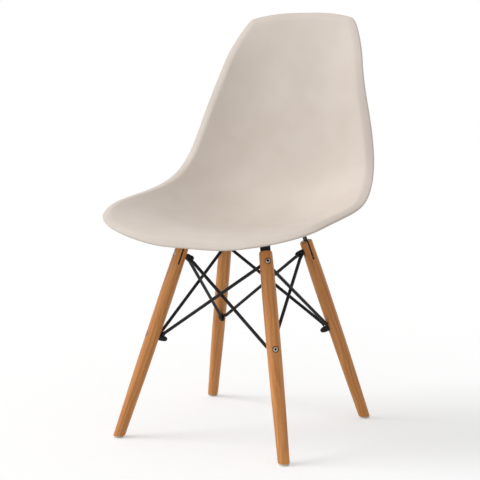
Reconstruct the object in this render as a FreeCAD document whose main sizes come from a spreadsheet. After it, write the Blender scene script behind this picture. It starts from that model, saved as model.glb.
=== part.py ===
import FreeCAD, Part
import math
import os
import re
from collections import namedtuple

import Sketcher
from FreeCAD import Placement, Rotation, Vector

# A side chair: one moulded plastic shell on four turned wooden legs, tied by crossed steel rods.
# The frame is in millimetres, +Z up and the sitter faces -Y. The origin is on the floor, under the
# middle of the chair's bounding box.

# Driving sizes
SIZES = {
    # the shell
    "overall_height": 820.0,
    "seat_height": 404.0,
    "shell_width": 502.0,
    "shell_depth": 461.0,
    "shell_wall": 5.0,
    "rim_width": 18.0,
    # moulded bosses under the seat, and what is screwed to them
    "boss_diameter": 32.0,
    "boss_drop": 12.0,
    "gusset_thickness": 2.6,
    "gusset_reach": 12.0,
    "insert_diameter": 9.0,
    "insert_length": 11.0,
    "pad_diameter": 28.0,
    "pad_thickness": 3.0,
    "screw_diameter": 6.0,
    "screw_length": 16.0,
    "screw_clearance": 0.1,
    "head_diameter": 10.5,
    "head_height": 3.3,
    "hex_key": 4.0,
    "hex_depth": 2.0,
    "washer_diameter": 14.0,
    "washer_thickness": 1.2,
    # where the legs stand and where their tops are, from the middle of the base
    "base_shift": -21.5,
    "foot_half_width": 180.0,
    "foot_half_depth": 180.0,
    "top_half_width": 90.0,
    "top_half_depth": 84.0,
    # the turned legs
    "foot_diameter": 21.6,
    "foot_rounding": 1.5,
    "belly_diameter": 27.4,
    "belly_from_top": 110.0,
    "top_diameter": 24.6,
    "top_rounding": 3.0,
    "slot_play": 0.4,
    "slot_room": 4.0,
    "slot_hole_diameter": 4.6,
    "bolt_from_top": 19.5,
    "bolt_spacing": 165.0,
    "bolt_play": 0.4,
    "counterbore_margin": 2.0,
    "head_depth": 4.2,
    "spot_face_depth": 1.1,
    "spot_face_margin": 2.0,
    # glides under the feet
    "glide_diameter": 19.0,
    "glide_thickness": 4.0,
    "glide_pin_diameter": 4.0,
    "glide_pin_length": 14.0,
    # the brackets
    "strip_thickness": 3.0,
    "strip_width": 19.5,
    "tongue_length": 32.0,
    "tongue_show": 11.0,
    "strip_bend": 3.0,
    "tab_hole_run": 22.0,
    "tab_play": 1.0,
    "tab_run": 36.0,
    # the brace rods, their flattened eyes and the nuts
    "rod_diameter": 6.5,
    "rod_bend": 4.0,
    "rod_neck": 12.0,
    "rod_gap": 0.8,
    "outward_kick": 1.4,
    "eye_diameter": 12.0,
    "eye_thickness": 2.6,
    "eye_margin": 0.5,
    "neck_width": 7.2,
    "spacer_diameter": 12.0,
    "spacer_margin": 0.2,
    "nut_flats": 10.0,
    "nut_height": 5.0,
    "nut_dome_diameter": 9.4,
    "nut_dome_height": 4.4,
    "nut_engagement": 6.5,
    "nut_thread_depth": 7.0,
}

# The form of the shell, from the front lip over the seat and up the back: at each station the
# pull of the middle line (y, z), of the outer edge (x, y, z), and how far the rim rolls down.
Station = namedtuple("Station", "middle edge rim_drop")
STATIONS = (
    Station((-221, 379), (169, -236, 391), 6.0),     # front lip
    Station((-243, 415), (212, -218, 415), 8.5),     # crest of the front
    Station((-175, 418), (248, -138, 448), 10.5),    # front of the seat
    Station((-68, 404), (248, -31, 460), 10.5),      # hollow of the seat
    Station((48, 404), (220, 69, 480), 10.5),        # rear of the seat
    Station((129, 439), (205, 118, 533), 10.5),      # bend to the back
    Station((159, 564), (186, 137, 617), 10.5),      # small of the back
    Station((187, 693), (155, 164, 714), 9.0),      # shoulders
    Station((226, 820), (142, 218, 799), 3.0),       # top edge
)
# What the stations measure as drawn, over the rounded rim, and the y of their middle
DRAWN_WIDTH = 501.8
DRAWN_DEPTH = 461.1
DRAWN_MIDDLE = 2.5
DRAWN_SEAT = 404.0
DRAWN_HEIGHT = 820.6
# How the section rises from the middle line to the edge: a power, at the front and at the top
RISE_FRONT = 2.4
RISE_TOP = 2.8
# Corner roundings of the outline, as shares of the half width and of the half length
FRONT_CORNER = (0.71, 0.25)
TOP_CORNER = (0.20, 0.11)
# Where the formula is sampled: points across and along, packed towards the rim
POINTS_ACROSS = 31
POINTS_ALONG = 41
EDGE_PACKING = 0.94
BEAD_STEPS = 4

# The four legs by name: sideways and lengthways sign
LEGS = {
    "front_left": (-1, -1),
    "front_right": (1, -1),
    "rear_left": (-1, 1),
    "rear_right": (1, 1),
}
# The brace rods: the leg with the upper eye, the leg with the lower eye, the eyes' layer on the
# bolts, 0 next to the leg and 1 beyond it, and whether the rod passes its twin further outward
Brace = namedtuple("Brace", "upper lower layer outward")
BRACES = {
    "brace_front_outer": Brace("front_right", "front_left", 1, True),
    "brace_front_inner": Brace("front_left", "front_right", 1, False),
    "brace_left_outer": Brace("rear_left", "front_left", 0, True),
    "brace_left_inner": Brace("front_left", "rear_left", 0, False),
    "brace_rear_outer": Brace("rear_left", "rear_right", 1, True),
    "brace_rear_inner": Brace("rear_right", "rear_left", 1, False),
    "brace_right_outer": Brace("front_right", "rear_right", 0, True),
    "brace_right_inner": Brace("rear_right", "front_right", 0, False),
}
LEVELS = ("upper", "lower")
SHIN_SWELL = 0.85   # how much of its swell a leg has reached halfway up to its belly
OVERRUN = 30.0    # how far a cutting solid runs past what it cuts

doc = FreeCAD.newDocument("shell_chair")


# The sheet and the sizes that follow from it

def make_sheet(sizes):
    """Fills the spreadsheet with plain numbers and names each cell."""
    result = doc.addObject("Spreadsheet::Sheet", "sheet")
    for row, (name, value) in enumerate(sizes.items(), start=1):
        result.set("A%d" % row, name)
        result.set("B%d" % row, repr(value))
        result.setAlias("B%d" % row, name)
    doc.recompute()
    return result


def turned_radius(size, leg_length, height):
    """The radius of a turned leg at a height along its axis."""
    belly_height = leg_length - size["belly_from_top"]
    foot, belly, top = (size[name] / 2 for name in ("foot_diameter", "belly_diameter", "top_diameter"))
    if height > belly_height:
        share = (height - belly_height) / size["belly_from_top"]
        return belly + (top - belly) * share ** 2
    share = 2 * height / belly_height
    swell = SHIN_SWELL * share if share < 1 else SHIN_SWELL + (1 - SHIN_SWELL) * (share - 1)
    return foot + (belly - foot) * swell


def derived_sizes(size):
    """Sizes that the driving ones settle: the stack under the seat, the lean of the legs and fits."""
    boss_face = size["seat_height"] - size["shell_wall"] - size["boss_drop"]
    tab_level = boss_face - size["pad_thickness"] - size["strip_thickness"] / 2
    top_height = tab_level - size["strip_thickness"] / 2 - size["tongue_show"]
    across = size["foot_half_width"] - size["top_half_width"]
    along = size["foot_half_depth"] - size["top_half_depth"]
    splay = math.hypot(across, along)
    leg_length = math.hypot(splay, top_height)
    upper_height = leg_length - size["bolt_from_top"]
    lower_height = upper_height - size["bolt_spacing"]
    head_seat = size["top_diameter"] / 2 - size["head_depth"]
    upper_face = turned_radius(size, leg_length, upper_height) - size["spot_face_depth"]
    lower_face = turned_radius(size, leg_length, lower_height) - size["spot_face_depth"]
    spacer = size["rod_diameter"] / 2 + size["spacer_margin"]
    bolt_reach = spacer + 2 * size["eye_thickness"] + size["nut_engagement"]
    crossing = (size["rod_diameter"] + size["rod_gap"]) * math.sqrt(2)
    return {
        "boss_face": boss_face,
        "tab_level": tab_level,
        "leg_top_height": top_height,
        "leg_length": leg_length,
        "lean_sine": splay / leg_length,
        "lean_cosine": top_height / leg_length,
        "upper_bolt_height": upper_height,
        "lower_bolt_height": lower_height,
        "upper_bolt_length": head_seat + upper_face + bolt_reach,
        "lower_bolt_length": head_seat + lower_face + bolt_reach,
        "slot_width": size["strip_thickness"] + size["slot_play"],
        "slot_depth": size["tongue_length"] + size["slot_room"],
        "bolt_hole_diameter": size["screw_diameter"] + size["bolt_play"],
        "tab_hole_diameter": size["screw_diameter"] + size["tab_play"],
        "counterbore_diameter": size["head_diameter"] + size["counterbore_margin"],
        "head_seat": head_seat,
        "upper_spot_face": upper_face,
        "lower_spot_face": lower_face,
        "spot_face_diameter": size["spacer_diameter"] + size["spot_face_margin"],
        "spacer_thickness": spacer,
        "inward_kick": crossing - size["outward_kick"],
    }


ALL_SIZES = dict(SIZES)
ALL_SIZES.update(derived_sizes(SIZES))
sheet = make_sheet(ALL_SIZES)
ALIAS = re.compile(r"\b(%s)\b" % "|".join(sorted(ALL_SIZES, key=len, reverse=True)))


def size(name):
    """Reads one size from its cell."""
    return float(sheet.get(name))


def expression(text):
    """Turns bare size names into references to the sheet's cells."""
    return ALIAS.sub(r"sheet.\1", text)


def value(text):
    """Works out an expression of size names, such as leg_length - slot_depth."""
    return float(sheet.evalExpression(expression(text)))


# Frames of the legs

def leg_frame(leg):
    """Stands at the floor point of a leg's axis: Z up the leg, X outward, square to the leg."""
    side, end = LEGS[leg]
    foot = Vector(side * size("foot_half_width"), end * size("foot_half_depth"), 0)
    top = Vector(side * size("top_half_width"), end * size("top_half_depth"), size("leg_top_height"))
    up_leg = (top - foot).normalize()
    flat = Vector(foot.x - top.x, foot.y - top.y, 0).normalize()
    outward = flat * size("lean_cosine") + Vector(0, 0, size("lean_sine"))
    foot.y += size("base_shift")
    return Placement(foot, Rotation(outward, up_leg.cross(outward), up_leg, "ZXY"))


def level_frame(leg):
    """Stands where the leg's axis meets the middle of the bracket's tab: X outward, Z upright."""
    frame = leg_frame(leg)
    corner = frame.multVec(Vector(0, 0, size("tab_level") / size("lean_cosine")))
    outward = frame.Rotation.multVec(Vector(1, 0, 0))
    flat = Vector(outward.x, outward.y, 0).normalize()
    upright = Vector(0, 0, 1)
    return Placement(corner, Rotation(flat, upright.cross(flat), upright, "ZXY"))


def seat_screw_frame(leg):
    """Stands on the boss's face, on the axis of the seat screw."""
    frame = level_frame(leg)
    lift = size("boss_face") - size("tab_level")
    return frame.multiply(Placement(Vector(-size("tab_hole_run"), 0, lift), Rotation()))


def bolt_frame(leg, level, distance):
    """Stands on a cross bolt's axis: Z outward along the bolt, from the leg's axis by a distance."""
    height = size("%s_bolt_height" % level)
    turn = Rotation(Vector(0, 1, 0), 90)
    return leg_frame(leg).multiply(Placement(Vector(distance, 0, height), turn))


# Building blocks

def plane_of(body, role):
    """One of a body's own origin planes."""
    return next(item for item in body.Origin.OriginFeatures if item.Role == role)


def new_body(name):
    """An empty body."""
    body = doc.addObject("PartDesign::Body", name)
    body.Label = name
    return body


def attach(feature, body, role, offset=None):
    """Lays a sketch or a solid on one of its own body's origin planes."""
    feature.AttachmentSupport = [(plane_of(body, role), "")]
    feature.MapMode = "FlatFace"
    if offset is not None:
        feature.AttachmentOffset = offset


def outline(body, name, corners, arcs=None, role="XZ_Plane"):
    """Draws a closed sketch through corners whose places are expressions of size names.

    An arc replaces the line that leaves a corner: arcs maps the corner's number to a point that
    the arc passes through, also as expressions.
    """
    arcs = arcs or {}
    sketch = body.newObject("Sketcher::SketchObject", "%s_%s" % (body.Name, name))
    attach(sketch, body, role)
    places = [Vector(value(x), value(y), 0) for x, y in corners]
    count = len(places)
    starts = []
    for index, start in enumerate(places):
        end = places[(index + 1) % count]
        if index in arcs:
            through = Vector(value(arcs[index][0]), value(arcs[index][1]), 0)
            sketch.addGeometry(Part.Arc(start, through, end))
            begins = sketch.Geometry[index].StartPoint.distanceToPoint(start) < 1e-6
            starts.append(1 if begins else 2)
        else:
            sketch.addGeometry(Part.LineSegment(start, end))
            starts.append(1)
    for index in range(count):
        following = (index + 1) % count
        sketch.addConstraint(Sketcher.Constraint(
            "Coincident", index, 3 - starts[index], following, starts[following]))
    for index, (x, y) in enumerate(corners):
        for kind, text in (("DistanceX", x), ("DistanceY", y)):
            constraint = sketch.addConstraint(
                Sketcher.Constraint(kind, -1, 1, index, starts[index], value(text)))
            if ALIAS.search(text):
                sketch.setExpression("Constraints[%d]" % constraint, expression(text))
    return sketch


def revolve(body, name, corners, arcs=None, role="XZ_Plane"):
    """Turns an outline about the body's Z axis; the surface's seam lies in the outline's plane."""
    sketch = outline(body, name + "_profile", corners, arcs, role)
    feature = body.newObject("PartDesign::Revolution", "%s_%s" % (body.Name, name))
    feature.Profile = sketch
    feature.ReferenceAxis = (sketch, ["V_Axis"])
    feature.Angle = 360
    doc.recompute()
    return feature


def primitive(body, kind, name, sizes, offset, **fixed):
    """Adds or takes away a simple solid: sizes are expressions, and offset places it."""
    feature = body.newObject("PartDesign::" + kind, "%s_%s" % (body.Name, name))
    attach(feature, body, "XY_Plane", offset)
    for item, text in sizes.items():
        feature.setExpression(item, expression(text))
    for item, number in fixed.items():
        setattr(feature, item, number)
    cuts = kind.startswith("Subtractive")
    before = body.Shape.Volume if cuts else 0
    doc.recompute()
    if cuts and body.Shape.Volume >= before:
        raise RuntimeError(feature.Name + " cuts nothing")
    return feature


def bore(body, name, start, direction, diameter, depth):
    """Drills a round hole from a start point along a direction."""
    offset = Placement(start, Rotation(Vector(0, 0, 1), direction))
    sizes = {"Radius": "(%s) / 2" % diameter, "Height": depth}
    return primitive(body, "SubtractiveCylinder", name, sizes, offset)


def round_edges(body, name, radius, wanted):
    """Fillets the edges of the last feature whose middle a test picks."""
    base = body.Tip
    picked = []
    for number, edge in enumerate(base.Shape.Edges, start=1):
        middle = edge.valueAt((edge.FirstParameter + edge.LastParameter) / 2)
        if wanted(edge, middle):
            picked.append("Edge%d" % number)
    feature = body.newObject("PartDesign::Fillet", "%s_%s" % (body.Name, name))
    feature.Base = (base, picked)
    feature.setExpression("Radius", expression(radius))
    doc.recompute()
    return feature


def group(name, bodies):
    """Gathers identical loose pieces in one node."""
    node = doc.addObject("Part::Compound", name)
    node.Label = name
    node.Links = bodies
    return node


def shape_feature(name, shape, placement=None):
    """A sub-part whose shape comes from functions that read the sheet."""
    node = doc.addObject("Part::Feature", name)
    node.Label = name
    node.Shape = shape
    node.Placement = placement or Placement()
    return node


# The form of the shell

def pulled(values, share):
    """A smooth uniform cubic spline that starts and ends on its first and last values."""
    degree = 3
    spans = len(values) - degree
    place = min(max(share, 0.0), 1.0) * spans
    span = min(int(place), spans - 1)
    knots = [min(max(index - degree, 0), spans) for index in range(len(values) + degree + 1)]
    span += degree
    held = [values[span - degree + index] for index in range(degree + 1)]
    for order in range(1, degree + 1):
        for index in range(degree, order - 1, -1):
            low = knots[index + span - degree]
            high = knots[index + 1 + span - order]
            mix = (place - low) / (high - low)
            held[index] = held[index - 1] * (1 - mix) + held[index] * mix
    return held[degree]


def rails():
    """The middle line and the edge of the shell, at their real size."""
    wide = size("shell_width") / DRAWN_WIDTH
    deep = size("shell_depth") / DRAWN_DEPTH
    rise = (size("overall_height") - size("seat_height")) / (DRAWN_HEIGHT - DRAWN_SEAT)

    def placed(x, y, z):
        return Vector(x * wide, (y - DRAWN_MIDDLE) * deep, size("seat_height") + (z - DRAWN_SEAT) * rise)

    middle = [placed(0, *station.middle) for station in STATIONS]
    edge = [placed(*station.edge) for station in STATIONS]
    return middle, edge


MIDDLE, EDGE = rails()
RIM_DROPS = [station.rim_drop for station in STATIONS]


def sheet_point(across, along):
    """A point of the shell's upper face before the rim rolls; across and along run from -1 to 1."""
    share = (along + 1) / 2
    middle = pulled(MIDDLE, share)
    edge = pulled(EDGE, share)
    power = RISE_FRONT + (RISE_TOP - RISE_FRONT) * share
    lift = abs(across) ** power
    point = middle + (edge - middle) * lift
    point.x = edge.x * across
    return point


def sheet_normal(across, along):
    """Unit normal of that face, towards the sitter."""
    step = 0.002
    low, high = max(across - step, -1), min(across + step, 1)
    back, forth = max(along - step, -1), min(along + step, 1)
    sideways = sheet_point(high, along) - sheet_point(low, along)
    lengthways = sheet_point(across, forth) - sheet_point(across, back)
    return sideways.cross(lengthways).normalize()


def rounded(across, along):
    """Bends the corners of the square of parameters into the shell's rounded outline."""
    side = math.copysign(1, across)
    end = math.copysign(1, along)
    wide, deep = FRONT_CORNER if end < 0 else TOP_CORNER
    inward = (abs(across) - (1 - wide)) / wide
    onward = (abs(along) - (1 - deep)) / deep
    if inward <= 0 or onward <= 0:
        return across, along
    return (
        side * (1 - wide + wide * inward * math.sqrt(1 - onward ** 2 / 2)),
        end * (1 - deep + deep * onward * math.sqrt(1 - inward ** 2 / 2)),
    )


def packed_steps(count):
    """Steps from -1 to 1 that lie closer together towards both ends."""
    half = EDGE_PACKING * math.pi / 2
    return [math.sin(half * (2 * index / (count - 1) - 1)) / math.sin(half) for index in range(count)]


def distance_to_line(point, line):
    """The shortest distance from a point to a closed line of points."""
    nearest = float("inf")
    for start, end in zip(line, line[1:] + line[:1]):
        run = end - start
        share = min(max((point - start).dot(run) / run.dot(run), 0.0), 1.0)
        nearest = min(nearest, (point - start - run * share).Length)
    return nearest


def border(grid):
    """The outer points of a grid, once round."""
    last = len(grid) - 1
    front = [row[0] for row in grid]
    right = grid[last][1:]
    top = [row[-1] for row in grid[:last]][::-1]
    left = grid[0][1:-1][::-1]
    return front + right + top + left


def upper_grid(across_steps, along_steps):
    """Points of the shell's upper face, with the rolled rim."""
    places = [[rounded(across, along) for along in along_steps] for across in across_steps]
    flat = [[sheet_point(*place) for place in row] for row in places]
    edge_line = border(flat)
    rim = size("rim_width")
    result = []
    for row, points in zip(places, flat):
        rolled = []
        for (across, along), point in zip(row, points):
            distance = distance_to_line(point, edge_line)
            if distance < rim:
                share = 1 - distance / rim
                drop = pulled(RIM_DROPS, (along + 1) / 2)
                drop *= 1 - math.sqrt(1 - 0.97 * share ** 2)
                point = point - sheet_normal(across, along) * drop
            rolled.append(point)
        result.append(rolled)
    return result


def lower_grid(grid, wall):
    """The same points, a wall's thickness below the face."""
    rows, columns = len(grid), len(grid[0])
    result = []
    for i in range(rows):
        points = []
        for j in range(columns):
            sideways = grid[min(i + 1, rows - 1)][j] - grid[max(i - 1, 0)][j]
            lengthways = grid[i][min(j + 1, columns - 1)] - grid[i][max(j - 1, 0)]
            points.append(grid[i][j] - sideways.cross(lengthways).normalize() * wall)
        result.append(points)
    return result


def smooth_curve(points, steps):
    """A curve through points at given parameters."""
    curve = Part.BSplineCurve()
    curve.interpolate(Points=points, Parameters=steps)
    return curve


def smooth_face(grid, across_steps, along_steps):
    """A face through a grid of points; grids that share a border row share the same edge."""
    lengthways = [smooth_curve(row, along_steps) for row in grid]
    poles = [curve.getPoles() for curve in lengthways]
    crossways = [smooth_curve([row[k] for row in poles], across_steps) for k in range(len(poles[0]))]
    net = [list(row) for row in zip(*[curve.getPoles() for curve in crossways])]
    surface = Part.BSplineSurface()
    surface.buildFromPolesMultsKnots(
        net, crossways[0].getMultiplicities(), lengthways[0].getMultiplicities(),
        crossways[0].getKnots(), lengthways[0].getKnots(), False, False, 3, 3)
    return surface.toShape()


def bead_rows(upper, lower):
    """Half-round rows of points round the rim, from the upper face to the lower one."""
    above, below = border(upper), border(lower)
    count = len(above)
    rows = [[] for _ in range(BEAD_STEPS + 1)]
    for index in range(count):
        middle = (above[index] + below[index]) * 0.5
        radius_line = above[index] - middle
        along = above[(index + 1) % count] - above[index - 1]
        outward = along.cross(radius_line).normalize() * radius_line.Length
        for step, row in enumerate(rows):
            angle = math.pi * step / BEAD_STEPS
            row.append(middle + radius_line * math.cos(angle) + outward * math.sin(angle))
    return rows


def shell_solid():
    """The moulded wall: upper face, lower face and the four stretches of rounded rim."""
    across_steps = packed_steps(POINTS_ACROSS)
    along_steps = packed_steps(POINTS_ALONG)
    upper = upper_grid(across_steps, along_steps)
    lower = lower_grid(upper, size("shell_wall"))
    faces = [smooth_face(grid, across_steps, along_steps) for grid in (upper, lower)]
    turns = [step / BEAD_STEPS for step in range(BEAD_STEPS + 1)]
    rows = bead_rows(upper, lower)
    start = 0
    for steps in (across_steps, along_steps, across_steps, along_steps):
        stop = start + len(steps) - 1
        stretch = [(row + row[:1])[start:stop + 1] for row in rows]
        faces.append(smooth_face(stretch, turns, steps))
        start = stop
    skin = Part.Shell(faces)
    skin.sewShape()
    solid = Part.Solid(skin)
    if solid.Volume < 0:
        solid.reverse()
    return solid, upper, lower, across_steps, along_steps


def seat_middle_cutter(upper, lower, across_steps, along_steps):
    """What lies above the middle of the wall over the bosses: it trims their tops."""
    wanted = [index for index, step in enumerate(across_steps) if abs(step) < 0.75]
    reach = [index for index, step in enumerate(along_steps) if -0.75 < step < 0.25]
    grid = [[(upper[i][j] + lower[i][j]) * 0.5 for j in reach] for i in wanted]
    face = smooth_face(grid, [across_steps[i] for i in wanted], [along_steps[j] for j in reach])
    return face.extrude(Vector(0, 0, size("boss_drop") + 2 * OVERRUN))


def boss_solid():
    """One moulded boss with its four gussets, standing up from the boss's face."""
    radius = size("boss_diameter") / 2
    height = size("boss_drop") + OVERRUN
    boss = Part.makeCylinder(radius, height)
    reach = radius + size("gusset_reach")
    thickness = size("gusset_thickness")
    gusset = Part.makePolygon([
        Vector(0, 0, 1), Vector(radius, 0, 1), Vector(reach, 0, size("boss_drop") - 2),
        Vector(reach, 0, height), Vector(0, 0, height), Vector(0, 0, 1)])
    gusset = Part.Face(gusset).extrude(Vector(0, thickness, 0))
    gusset.translate(Vector(0, -thickness / 2, 0))
    parts = []
    for turn in range(4):
        rib = gusset.copy()
        rib.rotate(Vector(), Vector(0, 0, 1), 45 + 90 * turn)
        parts.append(rib)
    return boss.fuse(parts).removeSplitter()


def make_seat_shell():
    """The shell with its bosses, bored for the threaded inserts."""
    solid, upper, lower, across_steps, along_steps = shell_solid()
    cutter = seat_middle_cutter(upper, lower, across_steps, along_steps)
    bosses = []
    holes = []
    for leg in LEGS:
        boss = boss_solid()
        boss.Placement = seat_screw_frame(leg)
        bosses.append(boss.cut(cutter))
        hole = Part.makeCylinder(size("insert_diameter") / 2 + size("screw_clearance"),
                                 size("insert_length") + 1, Vector(0, 0, -1))
        hole.Placement = seat_screw_frame(leg).multiply(hole.Placement)
        holes.append(hole)
    shape_feature("seat_shell", solid.fuse(bosses).cut(holes))


# What is screwed under the seat

def make_insert(leg):
    """A threaded insert in a boss."""
    body = new_body("seat_insert_" + leg)
    outer = "insert_diameter / 2"
    inner = "screw_diameter / 2 + screw_clearance"
    revolve(body, "sleeve", [
        (inner, "0"), (outer, "0"), (outer, "insert_length"), (inner, "insert_length")])
    body.Placement = seat_screw_frame(leg)
    return body


def make_pad(leg):
    """An isolating pad between a boss and its bracket."""
    body = new_body("seat_pad_" + leg)
    revolve(body, "disc", [
        ("tab_hole_diameter / 2", "-pad_thickness"), ("pad_diameter / 2", "-pad_thickness"),
        ("pad_diameter / 2", "0"), ("tab_hole_diameter / 2", "0")])
    body.Placement = seat_screw_frame(leg)


def make_washer(leg):
    """A washer under the head of a seat screw."""
    body = new_body("seat_washer_" + leg)
    bottom = "-pad_thickness - strip_thickness - washer_thickness"
    top = "-pad_thickness - strip_thickness"
    inner = "screw_diameter / 2 + 2 * screw_clearance"
    revolve(body, "disc", [
        (inner, bottom), ("washer_diameter / 2", bottom), ("washer_diameter / 2", top), (inner, top)])
    body.Placement = seat_screw_frame(leg)
    return body


def screw_body(name, length):
    """A button-head screw: its head's seat is at Z 0 and its shank runs down."""
    body = new_body(name)
    shank = "screw_diameter / 2"
    tip = "-(%s)" % length
    bevel = "screw_diameter / 10"
    revolve(body, "blank", [
        ("0", tip), ("%s - %s" % (shank, bevel), tip), (shank, "%s + %s" % (tip, bevel)),
        (shank, "0"), ("head_diameter / 2", "0"), ("head_diameter / 2", "head_height / 5"),
        ("head_diameter / 4", "head_height"), ("0", "head_height")],
        {5: ("head_diameter * 0.425", "head_height * 0.72")})
    offset = Placement(Vector(0, 0, size("head_height") - size("hex_depth")), Rotation())
    primitive(body, "SubtractivePrism", "socket",
              {"Circumradius": "hex_key / sqrt(3)", "Height": "hex_depth + 1"}, offset, Polygon=6)
    return body


def make_seat_screw(leg):
    """The screw that holds a bracket to its boss, put in from below."""
    body = screw_body("seat_screw_" + leg, "screw_length")
    drop = size("pad_thickness") + size("strip_thickness") + size("washer_thickness")
    turned = Placement(Vector(0, 0, -drop), Rotation(Vector(1, 0, 0), 180))
    body.Placement = seat_screw_frame(leg).multiply(turned)
    return body


def make_bracket(leg):
    """A bent steel strip: a tongue down in the leg's slot and a tab in under the boss."""
    body = new_body("bracket_" + leg)
    half = "strip_thickness / 2"
    outer_z = "(tab_level + %s * (1 - lean_sine)) / lean_cosine" % half
    inner_z = "(tab_level - %s * (1 - lean_sine)) / lean_cosine" % half
    end_x = "-tab_run * lean_cosine"
    end_z = "tab_level / lean_cosine + tab_run * lean_sine"
    bottom = "leg_length - tongue_length"
    sketch = outline(body, "side", [
        (half, bottom), (half, outer_z),
        ("%s + %s * lean_sine" % (end_x, half), "%s + %s * lean_cosine" % (end_z, half)),
        ("%s - %s * lean_sine" % (end_x, half), "%s - %s * lean_cosine" % (end_z, half)),
        ("-" + half, inner_z), ("-" + half, bottom)])
    strip = body.newObject("PartDesign::Pad", body.Name + "_strip")
    strip.Profile = sketch
    strip.setExpression("Length", expression("strip_width"))
    strip.Midplane = True
    doc.recompute()
    corner = Vector(0, 0, value("tab_level / lean_cosine"))
    width = size("strip_width")
    near = size("strip_thickness")

    def at_bend(edge, middle, side):
        straight = abs(edge.Length - width) < 0.01
        return straight and (middle - corner).Length < near and side * middle.x > 0

    round_edges(body, "inner_bend", "strip_bend", lambda edge, middle: at_bend(edge, middle, -1))
    round_edges(body, "outer_bend", "strip_bend + strip_thickness",
                lambda edge, middle: at_bend(edge, middle, 1))
    ends = Vector(value(end_x), 0, value(end_z))
    round_edges(body, "tab_corners", "strip_width / 3",
                lambda edge, middle: abs(edge.Length - near) < 0.01 and (middle - ends).Length < width)
    upright = Vector(size("lean_sine"), 0, size("lean_cosine"))
    inward = Vector(-size("lean_cosine"), 0, size("lean_sine"))
    start = corner + inward * size("tab_hole_run") - upright * OVERRUN
    bore(body, "tab_hole", start, upright, "tab_hole_diameter", "2 * %r" % OVERRUN)
    bore(body, "bolt_hole", Vector(-OVERRUN, 0, size("upper_bolt_height")), Vector(1, 0, 0),
         "bolt_hole_diameter", "2 * %r" % OVERRUN)
    body.Placement = leg_frame(leg)


# Legs and glides

def make_leg(leg):
    """A turned leg, sawn level at the foot, slotted at the top and drilled for two cross bolts."""
    body = new_body("leg_" + leg)
    belly = "leg_length - belly_from_top"
    foot, swell, top = "foot_diameter / 2", "belly_diameter / 2", "top_diameter / 2"
    below = "-glide_diameter / 2"
    shin = "(%s) / 2" % belly
    revolve(body, "turning", [
        ("0", below), (foot, below), ("%s + (%s - %s) * %r" % (foot, swell, foot, SHIN_SWELL), shin),
        (swell, belly), (top, "leg_length"), ("0", "leg_length")],
        {3: ("%s + (%s - %s) / 4" % (swell, top, swell), "leg_length - belly_from_top / 2")},
        "YZ_Plane")
    length = size("leg_length")
    round_edges(body, "top_edge", "top_rounding",
                lambda edge, middle: abs(middle.z - length) < 0.01 and edge.Length > 10)
    tilt = Rotation(Vector(0, 1, 0), math.degrees(math.asin(size("lean_sine"))))
    corner = tilt.multVec(Vector(-OVERRUN, -OVERRUN, size("glide_thickness") - OVERRUN))
    primitive(body, "SubtractiveBox", "level_cut", {"Height": repr(OVERRUN)},
              Placement(corner, tilt), Length=2 * OVERRUN, Width=2 * OVERRUN)
    sole = size("glide_thickness")
    round_edges(body, "foot_edge", "foot_rounding",
                lambda edge, middle: abs(tilt.inverted().multVec(middle).z - sole) < 0.01)
    slot_floor = length - size("slot_depth")
    primitive(body, "SubtractiveBox", "slot",
              {"Length": "slot_width", "Height": "slot_depth + 1"},
              Placement(Vector(-size("slot_width") / 2, -OVERRUN, slot_floor), Rotation()),
              Width=2 * OVERRUN)
    bore(body, "slot_hole", Vector(0, -OVERRUN, slot_floor), Vector(0, 1, 0),
         "slot_hole_diameter", "2 * %r" % OVERRUN)
    for level in LEVELS:
        height = size(level + "_bolt_height")
        bore(body, level + "_bolt_hole", Vector(-OVERRUN, 0, height), Vector(1, 0, 0),
             "bolt_hole_diameter", "2 * %r" % OVERRUN)
        bore(body, level + "_counterbore", Vector(size("head_seat"), 0, height), Vector(1, 0, 0),
             "counterbore_diameter", repr(OVERRUN))
        bore(body, level + "_face", Vector(-size(level + "_spot_face"), 0, height),
             Vector(-1, 0, 0), "spot_face_diameter", repr(OVERRUN))
    upright = Vector(size("lean_sine"), 0, size("lean_cosine"))
    bore(body, "pin_hole", Vector(), upright, "glide_pin_diameter + 2 * screw_clearance",
         "glide_thickness + glide_pin_length + 1")
    body.Placement = leg_frame(leg)


def make_glide(leg):
    """A nylon glide: a bevelled disc on the floor with a pin up into the leg."""
    body = new_body("glide_" + leg)
    side, end = LEGS[leg]
    rim, pin = "glide_diameter / 2", "glide_pin_diameter / 2"
    bevel = "glide_thickness / 4"
    top = "glide_thickness + glide_pin_length"
    revolve(body, "disc", [
        ("0", "0"), ("%s - %s" % (rim, bevel), "0"), (rim, bevel), (rim, "glide_thickness"),
        (pin, "glide_thickness"), (pin, top), ("0", top)])
    body.Placement = Placement(Vector(side * size("foot_half_width"),
                                      end * size("foot_half_depth") + size("base_shift"), 0), Rotation())


# Cross bolts, spacers and nuts

def make_leg_bolt(leg, level):
    """A cross bolt, put in from the outer side of a leg."""
    body = screw_body("leg_bolt_%s_%s" % (level, leg), level + "_bolt_length")
    body.Placement = bolt_frame(leg, level, size("head_seat"))
    return body


def make_spacer(leg, level):
    """A spacer between a leg's spot face and the first rod eye."""
    body = new_body("spacer_%s_%s" % (level, leg))
    inner = "bolt_hole_diameter / 2"
    revolve(body, "ring", [
        (inner, "-spacer_thickness"), ("spacer_diameter / 2", "-spacer_thickness"),
        ("spacer_diameter / 2", "0"), (inner, "0")])
    body.Placement = bolt_frame(leg, level, -size(level + "_spot_face"))
    return body


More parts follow.
